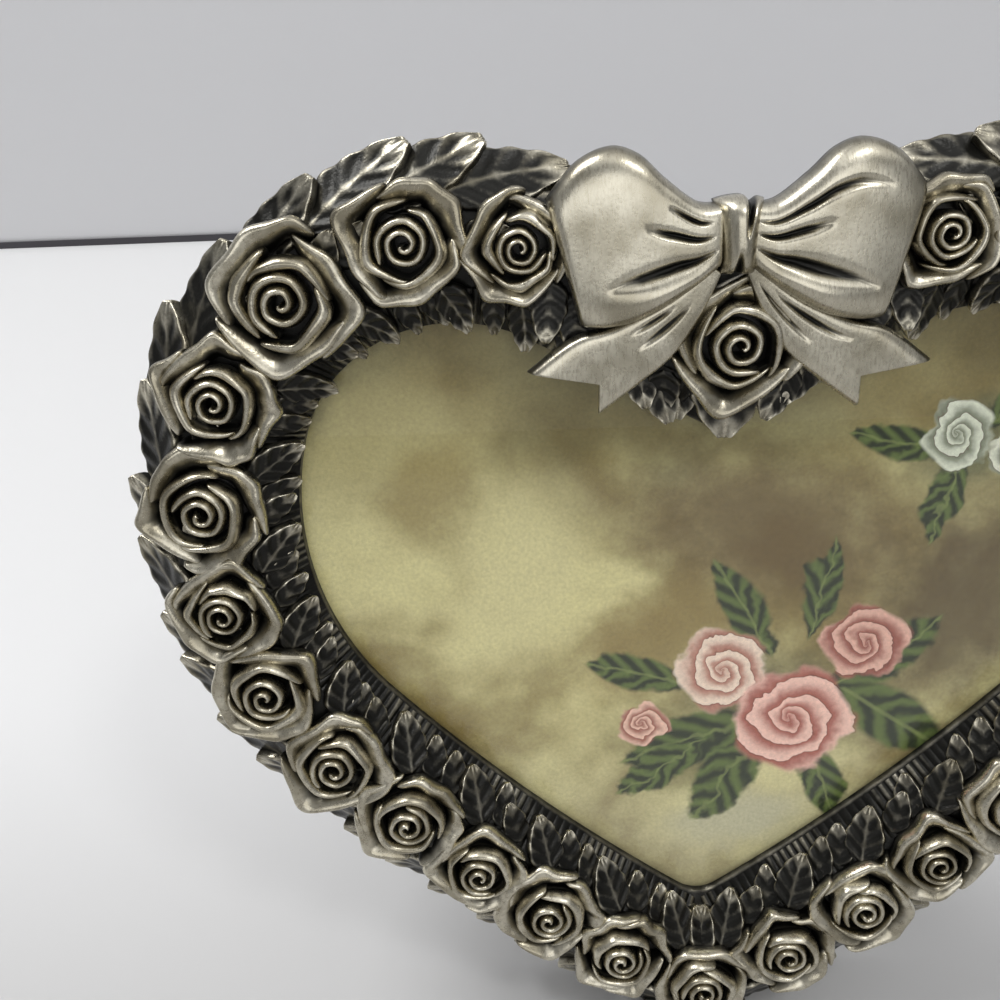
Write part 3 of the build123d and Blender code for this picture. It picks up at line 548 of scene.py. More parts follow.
def rose(bm, middle, radius, turn, chance):
    """A full rose: broad dished petals, two or three lapped inner ones and a rolled bud."""
    wear_and_shade = bm.verts.layers.float["wear_and_shade"]
    pick = chance.uniform
    base = bmesh.ops.create_cone(
        bm, cap_ends=True, segments=20, radius1=radius * 0.90, radius2=radius * 0.66, depth=2.2,
        matrix=Matrix.Translation(middle + Vector((0, 0, -0.6))),
    )
    for vert in base["verts"]:
        vert[wear_and_shade] = 0.0
    outer = chance.choice((3, 3, 4))
    shape = (outer + 1, pick(0, 90), 0.55)
    for number in range(outer):
        span = 360 / outer * pick(1.16, 1.30)
        start = turn + number * 360 / outer + pick(-12, 12)
        corners = [(pick(0.30, 0.50), pick(0.7, 2.0))]
        if chance.random() < 0.5:
            corners.append((pick(0.65, 0.80), pick(0.3, 1.2)))
        petal(
            bm, middle, start, span, radius * pick(1.07, 1.14),
            ROSE_HEIGHT * pick(0.62, 0.76), radius * pick(0.34, 0.42),
            corners, radius * 0.18, OUTER_STEPS, shape, DISHED_WALL,
        )
    inner_turn = turn + pick(30, 90)
    inner = chance.choice((2, 2, 3))
    for number in range(inner):
        start = inner_turn + number * 360 / inner + pick(-15, 15)
        corners = [(pick(0.3, 0.7), pick(0.2, 0.9))]
        petal(
            bm, middle, start, 360 / inner * pick(1.12, 1.28), radius * (0.74 - 0.03 * number),
            ROSE_HEIGHT * pick(0.86, 0.94), radius * pick(0.16, 0.20),
            corners, radius * 0.12, INNER_STEPS, (5, pick(0, 72), 0.5), UPRIGHT_WALL,
        )
    start = inner_turn + pick(100, 200)
    bud(bm, middle, start, radius * 0.54, pick(2.0, 2.3), (5, pick(0, 72), 0.5))


def garland_roses():
    """Every rose, in two pieces for each side and one for the middle."""
    chance = random.Random(11)
    sizes = list(zip(ROSE_LENGTH_SHARES, ROSE_RADIUS_SHARES))
    for side, name in ((1, "roses_left"), (-1, "roses_right")):
        for part, run in (("_low", sizes[:ROSES_OF_LOW_PIECE]), ("_high", sizes[ROSES_OF_LOW_PIECE:])):
            bm = new_bmesh()
            for along, size in run:
                point, _ = place(along)
                middle = Vector((side * point.x, point.y, CREST))
                rose(bm, middle, ROSE_RADIUS * size, chance.uniform(0, 360), chance)
            subdivide(finish_piece(name + part, bm, garland_pewter), 2)
    bm = new_bmesh()
    rose(bm, Vector((0, -TIP_DROP + 2.0, CREST)), ROSE_RADIUS * 0.92, 20, chance)
    rose(bm, Vector((1.2, NOTCH_Y + 0.2, CREST + 0.6)), ROSE_RADIUS, 70, chance)
    subdivide(finish_piece("roses_middle", bm, garland_pewter), 2)


garland_roses()


# Leaves: a grid is shaped to a serrated blade with a midrib and slanting side veins.
BROAD_GRID = (25, 12)
SMALL_GRID = (17, 9)


def leaf(bm, set_down, length, width, curl, veins, chance, grid_size=BROAD_GRID):
    """One leaf along +x of a place, solid down to its ground, its tip raised and curled."""
    wear_and_shade = bm.verts.layers.float["wear_and_shade"]
    skew = chance.uniform(-0.06, 0.06)
    grid, faces = new_grid(bm, *grid_size)
    for vert in grid:
        share = vert.co.x + 0.5
        side = vert.co.y * 2
        blade = sin(pi * share**0.72) ** 0.62 if 0 < share < 1 else 0.0
        phase = (share - 0.26 * abs(side)) * veins
        ridge = abs(cos(pi * phase))
        teeth = 1 - 0.11 * (1 - ridge) * abs(side) ** 3
        half = width / 2 * max(blade, 0.12) * teeth
        rib = exp(-((side / 0.11) ** 2))
        tip = max(0.0, (share - 0.66) / 0.34)
        lift = 0.45 + 1.0 * share + 0.35 * rib + 0.38 * ridge * (1 - rib) * min(1.0, 1.6 * blade)
        lift += 0.35 * abs(side) ** 3 * share + curl * tip**1.4
        vert.co = Vector((length * share, half * side + skew * length * share**2, lift))
        wear_and_shade_level = 0.12 + 0.42 * rib + 0.26 * ridge**3 * (1 - rib)
        wear_and_shade_level += 0.70 * abs(side) ** 8 * min(1.0, 1.5 * share) + 0.55 * tip
        vert[wear_and_shade] = min(1.0, wear_and_shade_level)
    rear = rear_of(bm, faces)
    for vert in rear:
        vert.co.z = min(vert.co.z - 0.6, curl * 0.5 * max(0.0, vert.co.x / length - 0.7) / 0.3 - 0.3)
        vert[wear_and_shade] = 0.1
    for vert in grid + rear:
        vert.co = set_down(vert.co)


# Slopes of the ring and its level crest: outset at the top and at the foot, and how steep.
OUTER_SLOPE = (3.2, 9.4, 38.9)
INNER_SLOPE = (-6.0, -11.5, 42.3)
CREST_SLOPE = (-3.0, 3.0, 0.0)
FLOOR_AIR = 0.1
LINE_LENGTH = sum(radius * radians(last - first) for _, radius, first, last in garland_arcs(0))
LINE_LENGTH += (run_ends(0)[1] - run_ends(0)[0]).length


def on_slope(share, slope, down, lift, turn, side):
    """A way to lay a leaf on a slope, bent with it: up the garland, turned down the slope."""
    top, foot, steep = slope
    way = 1 if foot > top else -1
    fall, rise = sin(radians(steep)), cos(radians(steep))
    over, onward = sin(radians(turn)), cos(radians(turn))

    def set_down(spot):
        along = spot.x * onward - spot.y * over
        under = down + spot.x * over + spot.y * onward
        height = lift + spot.z
        point, _ = place(share + along / LINE_LENGTH, top + way * (under * rise + height * fall))
        return Vector((side * point.x, point.y, CREST - under * fall + height * rise))

    return set_down


def leaf_row(name, sides, shares, slope, ground, turns, size, curl, veins, seed, sway, grid_size):
    """A row of leaves whose roots are at shares of the line, each a little different.

    Ground is how far down the slope and over it they lie, turns are at the flank and on the lobe.
    """
    chance = random.Random(seed)
    down, lift = ground
    bm = new_bmesh()
    for side in sides:
        for share in shares:
            blend = min(1.0, max(0.0, (share - 0.45) / 0.2))
            turn = turns[0] + (turns[1] - turns[0]) * blend + chance.uniform(-sway, sway)
            length, width = (value * chance.uniform(0.95, 1.05) for value in size)
            set_down = on_slope(share, slope, down, lift, turn, side)
            leaf(bm, set_down, length, width, curl * chance.uniform(0.8, 1.2), veins, chance, grid_size)
    for vert in bm.verts:
        over_floor = (FACE @ vert.co).z / MM
        if over_floor < FLOOR_AIR:
            vert.co += FLOOR_NORMAL * (FLOOR_AIR - over_floor)
    subdivide(finish_piece(name, bm, leaf_pewter), 1)


# Comb: its ridges on each side, the grid they are drawn on, and the band it covers on the inner slope.
COMB_RIDGES = 150
COMB_GRID = (1500, 10)
COMB_START = -6.1
COMB_WIDTH = 5.35
COMB_FALL = 0.909


def comb():
    """The fine ridges that run to the glass all round the opening."""
    bm = new_bmesh()
    wear_and_shade = bm.verts.layers.float["wear_and_shade"]
    for side in (1, -1):
        for vert in new_grid(bm, *COMB_GRID)[0]:
            along, across = vert.co.x + 0.5, vert.co.y + 0.5
            phase = along * COMB_RIDGES + 0.25 * sin(50 * along)
            chance = 0.5 + 0.5 * sin(floor(phase) * 12.9898)
            ridge = abs(sin(pi * phase)) ** 0.6
            point, _ = place(along, COMB_START - COMB_WIDTH * across)
            height = CREST - (0.1 + COMB_WIDTH * across) * COMB_FALL + 0.15
            height += ridge * (0.40 + 0.45 * chance) * sin(pi * (0.12 + 0.8 * across))
            vert.co = Vector((side * point.x, point.y, height))
            vert[wear_and_shade] = ridge**2 * (0.15 + 0.55 * chance) * (0.35 + 0.65 * across)
    finish_piece("comb_ridges", bm, leaf_pewter)


# Leaves round the notch's rose: root place and height, direction, length and width.
NOTCH_LEAVES = (
    (1.2, 42.5, 9.8, 269, 12.5, 10.4), (9.2, 40.4, 9.3, 248, 8.4, 5.4), (12.4, 42.4, 9.5, 244, 8.6, 5.2),
    (16.2, 44.2, 9.5, 256, 6.4, 4.8), (-9.4, 41.8, 9.3, 291, 9.8, 6.0), (-11.4, 42.8, 9.5, 283, 8.2, 5.2),
    (-4.6, 41.5, 8.8, 262, 8.6, 6.0), (6.0, 40.5, 8.8, 276, 7.4, 5.2),
)
NOTCH_LEAF_DIP = 14
# Where the outer leaves' tips are along the garland, and where the roots of the inner ones are.
OUTER_TIPS = (
    0.017, 0.057, 0.097, 0.137, 0.177, 0.217, 0.257, 0.297, 0.337, 0.379, 0.411, 0.454, 0.488, 0.532, 0.573,
    0.623, 0.663, 0.704, 0.758, 0.801, 0.837, 0.875, 0.912, 0.95,
)
INNER_SMALL_ROOTS = (
    0.015, 0.060, 0.082, 0.128, 0.148, 0.196, 0.214, 0.262, 0.282, 0.334, 0.352, 0.404, 0.420, 0.474, 0.490,
    0.545, 0.562, 0.620, 0.640, 0.700, 0.718, 0.776, 0.794, 0.850, 0.905, 0.95, 0.975,
)
INNER_LARGE_ROOTS = (
    0.008, 0.036, 0.098, 0.165, 0.232, 0.300, 0.370, 0.440, 0.508, 0.582, 0.658, 0.738, 0.812, 0.872, 0.93,
)
CREST_ROOTS = (
    0.112, 0.178, 0.245, 0.315, 0.385, 0.455, 0.522, 0.595, 0.675, 0.735, 0.748, 0.826, 0.888, 0.900,
)
CREST_END_ROOTS = (0.885, 0.905)
# Rows of leaves as leaf_row takes them.
OUTER_LEAF = (13.5, 8.7)
OUTER_TURN = 26
outer_back = OUTER_LEAF[0] * cos(radians(OUTER_TURN)) / LINE_LENGTH
OUTER_ROOTS = [tip - outer_back for tip in OUTER_TIPS]
OUTER_ROW = (OUTER_ROOTS, OUTER_SLOPE, (2.0, 0.0), (OUTER_TURN, OUTER_TURN), OUTER_LEAF, 1.2, 5)
OUTER_ROWS = (
    ("leaves_outer_left", (1,), *OUTER_ROW, 3, 3, BROAD_GRID),
    ("leaves_outer_right", (-1,), *OUTER_ROW, 4, 3, BROAD_GRID),
)
INNER_ROWS = (
    ("leaves_inner_small", (1, -1), INNER_SMALL_ROOTS, INNER_SLOPE, (0.6, -0.3), (46, 60), (7.0, 4.6),
     0.2, 3, 5, 14, SMALL_GRID),
    ("leaves_inner_large", (1, -1), INNER_LARGE_ROOTS, INNER_SLOPE, (-0.6, 0.3), (40, 54), (9.2, 6.2),
     0.4, 4, 6, 8, BROAD_GRID),
    ("leaves_crest_out", (1, -1), CREST_ROOTS, CREST_SLOPE, (2.6, 0.0), (30, 30), (6.5, 4.6),
     0.2, 3, 8, 20, SMALL_GRID),
    ("leaves_crest_in", (1, -1), CREST_END_ROOTS, CREST_SLOPE, (0.5, 0.0), (-62, -62), (8.0, 5.4),
     0.2, 4, 12, 12, SMALL_GRID),
)


def notch_leaves():
    """The leaves that hang round the notch's rose, their tips over the glass."""
    bm = new_bmesh()
    chance = random.Random(9)
    for x, y, height, angle, length, width in NOTCH_LEAVES:
        spot = Matrix.Translation((x, y, height)) @ Matrix.Rotation(radians(angle), 4, "Z")
        spot = spot @ Matrix.Rotation(radians(NOTCH_LEAF_DIP), 4, "Y")
        leaf(bm, lambda local, spot=spot: spot @ local, length, width, 0.4, 4, chance)
    subdivide(finish_piece("leaves_notch", bm, leaf_pewter), 1)


for row in OUTER_ROWS:
    leaf_row(*row)
notch_leaves()
for row in INNER_ROWS:
    leaf_row(*row)
comb()


# Bow: each loop and tail is a sheet between two edge lines, puffed up and creased at the knot.
BOW_Y = NOTCH_Y + 13.6
BOW_REAR = CREST + 2.2


def along_line(points, share):
    """A point at a share of the way along a smooth line through points."""
    scaled = share * (len(points) - 1)
    first = min(int(scaled), len(points) - 2)
    local = scaled - first
    before = points[max(first - 1, 0)]
    a, b = points[first], points[first + 1]
    after = points[min(first + 2, len(points) - 1)]
    out = []
    for p0, p1, p2, p3 in zip(before, a, b, after):
        tangent = p2 - p0, p3 - p1
        value = p1 * (2 * local**3 - 3 * local**2 + 1) + p2 * (3 * local**2 - 2 * local**3)
        value += 0.5 * tangent[0] * (local**3 - 2 * local**2 + local)
        value += 0.5 * tangent[1] * (local**3 - local**2)
        out.append(value)
    return out


def ribbon(bm, side, low_line, high_line, height_of, segments, thickness, notch=(0.0, 0.0, 0.5)):
    """A cast ribbon between two edge lines: its face puffed up by height_of, its rear kept thin."""
    wear_and_shade = bm.verts.layers.float["wear_and_shade"]
    grid, faces = new_grid(bm, *segments)
    for vert in grid:
        u, v = vert.co.x + 0.5, vert.co.y + 0.5
        low, high = along_line(low_line, u), along_line(high_line, u)
        # height_of gives the wear_and_shade level: wear, and painted shade at the edges, near the knot and
        # at the ends.
        height, wear_and_shade_level = height_of(u, v)
        middle = notch[2]
        pull = (v / middle if v < middle else (1 - v) / (1 - middle)) * max(0.0, (u - 0.6) / 0.4)
        x = low[0] + (high[0] - low[0]) * v + notch[0] * pull
        y = low[1] + (high[1] - low[1]) * v + notch[1] * pull
        vert.co = Vector((side * x, BOW_Y + y, BOW_REAR + height))
        vert[wear_and_shade] = wear_and_shade_level
    for vert in rear_of(bm, faces):
        vert.co.z = min(vert.co.z - 0.6, BOW_REAR + max(0.0, vert.co.z - BOW_REAR - thickness))
        vert[wear_and_shade] = 0.25


LOOP_LOW = [(-1.8, -3.6), (-5.5, -6.4), (-10.5, -9.4), (-15.0, -10.6), (-18.4, -10.4)]
LOOP_HIGH = [(-1.8, 3.9), (-4.6, 4.1), (-8.4, 6.9), (-11.4, 9.6), (-14.8, 10.6), (-18.9, 8.9), (-22.4, 4.9)]
TAIL_LOW = [(-2.6, -3.4), (-8.0, -7.4), (-14.5, -10.4), (-19.5, -11.9), (-25.1, -16.0)]
TAIL_HIGH = [(-1.4, -4.4), (-3.6, -9.4), (-6.8, -14.4), (-11.4, -18.2), (-16.2, -21.8)]
# Creases: where across the ribbon each starts and ends, its first and last share along, and its width.
LEFT_CREASES = (
    (0.74, 0.84, 0.10, 0.34, 0.018), (0.55, 0.58, 0.08, 0.50, 0.022), (0.34, 0.20, 0.06, 0.74, 0.030),
)
RIGHT_CREASES = (
    (0.72, 0.80, 0.05, 0.80, 0.020), (0.54, 0.60, 0.06, 0.50, 0.024), (0.34, 0.20, 0.05, 0.84, 0.034),
)
LEFT_TAIL_CREASES = ((0.30, 0.24, 0.28, 0.48, 0.026), (0.56, 0.50, 0.24, 0.54, 0.032))
RIGHT_TAIL_CREASES = ((0.36, 0.30, 0.20, 0.66, 0.034), (0.60, 0.66, 0.12, 0.50, 0.028))
# How far a tail's end is drawn in, and where across.
TAIL_NOTCH = (3.6, 1.9, 0.60)


def creased(creases, u, v):
    """How deep the creases of a ribbon are at a spot, from 0 to 1: lens shaped, tapered at both ends."""
    deepest = 0.0
    for first, last, start, end, width in creases:
        share = (u - start) / (end - start)
        if 0 < share < 1:
            taper = sin(pi * share**0.8) ** 0.7
            centre = first + (last - first) * u
            deepest = max(deepest, exp(-(((v - centre) / (width * (0.35 + taper))) ** 2)) * taper)
    return deepest


def loop_height(creases):
    """For a loop: how high a spot stands over the bow's rear, and how worn it is, with painted shade and
    patina darkening its edges, its part under the knot and its rolled far end.
    """

    def height_of(u, v):
        reach = sin(pi * (0.16 + 0.74 * u))
        edge = max(0.0, 1 - (2 * abs(v - 0.5)) ** 6)
        height = 1.2 + 3.1 * (0.45 + 0.55 * reach) * edge**0.5
        lobe = exp(-(((v - 0.10) / 0.11) ** 2)) * sin(pi * min(1.0, 0.1 + u)) ** 2
        height += 0.8 * lobe
        dip = creased(creases, u, v)
        height -= 1.2 * dip
        rim = min(1.0, (1 - u) / 0.06)
        height -= 1.3 * (1 - rim) ** 2
        # Darker at the loop's edges, where it runs under the knot and at its rolled far end: painted shade
        # and patina.
        darkening = 0.34 * max(0.0, 1 - (1 - u) / 0.16) + 0.25 * max(0.0, 1 - u / 0.12)
        return height, max(0.0, min(1.0, 1.0 - 1.15 * dip - darkening - 0.55 * (1 - edge) + 0.15 * lobe))

    return height_of


def tail_height(creases):
    """For a tail: how high a spot stands over the bow's rear, and how worn it is, with painted shade and
    patina darkening its edges, its part under the knot and its outer point.
    """

    def height_of(u, v):
        edge = max(0.0, 1 - (2 * abs(v - 0.5)) ** 8)
        dip = creased(creases, u, v)
        height = 0.7 + 1.5 * edge**0.5 - 0.4 * u - 0.8 * dip
        # Darker at the tail's edges, where it comes from under the knot and at its outer point: painted
        # shade and patina.
        darkening = 0.45 * max(0.0, 1 - u / 0.30) + 0.30 * max(0.0, (u - 0.75) / 0.25) * max(0.0, 1 - 2 * v)
        return height, max(0.0, 0.97 - 1.0 * dip - darkening - 0.35 * (1 - edge))

    return height_of


def bow():
    """The ribbon bow: two loops, two swallow-tailed tails and the knot's band."""
    bm = new_bmesh()
    for side, loop, tail in ((1, LEFT_CREASES, LEFT_TAIL_CREASES), (-1, RIGHT_CREASES, RIGHT_TAIL_CREASES)):
        ribbon(bm, side, LOOP_LOW, LOOP_HIGH, loop_height(loop), (64, 56), 2.6)
        ribbon(bm, side, TAIL_LOW, TAIL_HIGH, tail_height(tail), (44, 30), 1.4, TAIL_NOTCH)
    knot(bm)
    finish_piece("bow", bm, bow_pewter, replaced=["bow_casting"])


def knot(bm):
    """The band round the middle: waisted, its top parted by a crease, with a slit below."""
    wear_and_shade = bm.verts.layers.float["wear_and_shade"]
    grid, faces = new_grid(bm, 44, 48)
    for vert in grid:
        across, up = vert.co.x * 2, vert.co.y * 2
        half = 2.25 + 0.55 * abs(up) ** 2 + (0.25 * up if up > 0 else 0.55 * up)
        round_off = sqrt(max(0.0, 1 - abs(across) ** 2.3))
        ends = sqrt(max(0.0, 1 - abs(up) ** 4))
        crease = exp(-(((across - 0.24 - 0.20 * up) / (0.07 + 0.12 * max(0.0, up))) ** 2))
        crease *= min(1.0, max(0.0, up + 0.05) * 2.0)
        slit = exp(-(((across + 0.10) / (0.05 + 0.22 * max(0.0, -up - 0.25))) ** 2))
        slit *= min(1.0, max(0.0, -up - 0.3) * 2.2)
        height = (1.4 + 4.0 * round_off) * (0.35 + 0.65 * ends) - 1.7 * crease - 1.9 * slit
        top = 4.6 * up + 0.1 - 0.7 * crease * max(0.0, up) ** 4 - 0.5 * across**2 * max(0.0, up)
        vert.co = Vector((half * across + 0.3, BOW_Y + top, BOW_REAR + height))
        # The knot's sides and ends are darkened as painted shade and patina.
        edge_shade_and_patina = 0.55 * (1 - round_off) ** 2 + 0.25 * (1 - ends)
        vert[wear_and_shade] = max(0.0, 0.96 - 1.1 * crease - 1.3 * slit - edge_shade_and_patina)
    for vert in rear_of(bm, faces):
        vert.co.z = BOW_REAR
        vert[wear_and_shade] = 0.2


bow()


# Glass, print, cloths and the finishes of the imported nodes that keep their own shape.
GLASS_AIR = 0.06
VELVETS = {
    "back_velvet": ("frame", 120.0, 100.0, "back_board"),
    "easel_velvet": ("easel", 50.0, 172.0, "easel_board"),
}
REMADE_NODES = (
    "wreath_casting", "bow_casting", "picture_print", "glass_pane", "stay_ribbon", "bow_screws",
    "turn_button_screws",
)


def plain_finishes():
    """The finishes of the CAD nodes that keep their own shape, and the cloth that covers the rear."""
    velvet = Shader("black_velvet_flock")
    rubbed = velvet.ramp(velvet.noise(110, 4.0, 0.65), 0.3, 0.7)
    velvet.set(
        Base_Color=velvet.mix(rubbed, rgb(19, 19, 22), rgb(40, 39, 46)),
        Roughness=0.95, Sheen_Weight=0.6, Sheen_Roughness=0.4,
        Normal=velvet.bump(velvet.noise(5200, 2.0), 0.00025, 0.8),
    )
    board = Shader("raw_fibreboard")
    board.set(
        Base_Color=board.mix(board.noise(900, 4.0, 0.7), rgb(120, 88, 56), rgb(158, 122, 82)),
        Roughness=0.85, Normal=board.bump(board.noise(1800, 3.0), 0.0001, 0.6),
    )
    card = Shader("grey_card_stock")
    card.set(
        Base_Color=card.mix(card.noise(700, 4.0), rgb(150, 146, 136), rgb(178, 174, 164)), Roughness=0.9,
    )
    satin = Shader("black_satin_ribbon")
    weave = satin.node("ShaderNodeTexWave", {"Vector": satin.object, "Scale": 1500.0}, bands_direction="X")
    satin.set(
        Base_Color=satin.mix(satin.noise(260, 2.0), rgb(18, 17, 20), rgb(34, 33, 37)),
        Roughness=0.38, Sheen_Weight=0.3, Normal=satin.bump(weave.outputs[1], 0.00005, 0.5),
    )
    finishes = {"back_board": board, "easel_board": board, "filler_card": card}
    pane = clean_copy("glass_pane", "pane", "frame", clear_glass())
    middle = sum((UPRIGHT @ vert.co).z for vert in pane.data.vertices) / len(pane.data.vertices)
    for vert in pane.data.vertices:
        flat = UPRIGHT @ vert.co
        if flat.z < middle:
            vert.co = FACE @ (flat + Vector((0, 0, GLASS_AIR)))
    for name, node in frame["nodes"].items():
        if name in REMADE_NODES or name in VELVETS:
            continue
        node.data.materials.clear()
        node.data.materials.append(finishes[name].material if name in finishes else zinc_plate)
    for name, (body, wide, long, under) in VELVETS.items():
        piece = clean_copy(name, name + "_cloth", body, velvet.material)
    ribbon_piece = clean_copy("stay_ribbon", "stay_ribbon_cloth", None, satin.material)
    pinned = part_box("back_staple"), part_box("easel_staple")
    ends = [(Vector(low) + Vector(high)) / 2 for low, high in pinned]
    start, end = (ends[0].lerp(ends[1], share) for share in (0.15, 0.85))
    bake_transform(ribbon_piece, "frame", "easel", start=tuple(start), end=tuple(end))


def clear_glass():
    """Clear glass that lets the lamps through to the picture."""
    glass = Shader("clear_picture_glass")
    glass.set(Base_Color=rgb(252, 254, 252), Roughness=0.015, IOR=1.45, Transmission_Weight=1.0)
    lamp_ray = glass.node("ShaderNodeLightPath").outputs["Is Shadow Ray"]
    through = glass.node("ShaderNodeBsdfTransparent")
    parts = {0: lamp_ray, 1: glass.surface.outputs[0], 2: through.outputs[0]}
    mixed = glass.node("ShaderNodeMixShader", parts)
    glass.feed(glass.tree.nodes["Material Output"].inputs["Surface"], mixed.outputs[0])
    return glass.material


def clean_copy(node, name, body, material):
    """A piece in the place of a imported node, its faces joined and crisp at their edges."""
    bm = new_bmesh()
    bm.from_mesh(frame["nodes"][node].data)
    bmesh.ops.remove_doubles(bm, verts=bm.verts, dist=0.00001)
    piece = finish_piece(name, bm, material, body, [node], stands=Matrix.Identity(4))
    piece.data.attributes.remove(piece.data.attributes["custom_normal"])
    piece.data.set_sharp_from_angle(angle=radians(30))
    return piece


plain_finishes()


# The print's marks in face millimetres: soft clouds and leaves, each with its middle, angle, half length
# and half width, and blooms with their middle, radius, angle, deep and pale colour.
PRINT_CLOUDS = (
    ((13, -14), -15, 24, 13, (74, 68, 38)),
    ((-40, 22), 60, 14, 9, (150, 134, 84)),
    ((10, 14), -15, 32, 17, (104, 84, 50)),
    ((-27, 7), 70, 24, 13, (208, 198, 148)),
    ((-6, -2), 30, 20, 12, (138, 118, 70)),
    ((-4, -22), -40, 16, 9, (116, 108, 66)),
    ((38, 2), 80, 26, 18, (88, 72, 46)),
    ((6, -35), 10, 16, 7, (184, 178, 150)),
    ((36, 27), 30, 13, 8, (92, 92, 62)),
)
PRINT_LEAVES = (
    ((-2, -20), 200, 12, 5.4), ((4, -27), 240, 10, 5.0), ((29, -17), -35, 12, 5.2), ((27, -6), 35, 11, 5.0),
    ((6, 2), 120, 10, 3.6), ((-10, -8), 165, 9, 3.4), ((17, 5), 80, 9, 3.3), ((19, -28), -70, 9, 3.6),
    ((-6, -25), 215, 9, 3.6), ((27, 27), 170, 8, 3.0), ((33, 19), -100, 8, 3.0), ((42, 34), 50, 8, 3.0),
)
PRINT_ROSES = (
    ((24, -4), 6.4, 40, (150, 84, 72), (226, 178, 162)),
    ((3, -8), 7.2, 200, (176, 120, 104), (238, 214, 196)),
    ((14, -17), 9.4, 10, (164, 92, 80), (240, 196, 182)),
    ((-9, -17), 4.0, 90, (158, 96, 82), (232, 190, 172)),
    ((34, 28), 5.0, 60, (128, 132, 112), (222, 224, 206)),
    ((42, 25), 3.8, 150, (134, 136, 118), (226, 226, 208)),
)


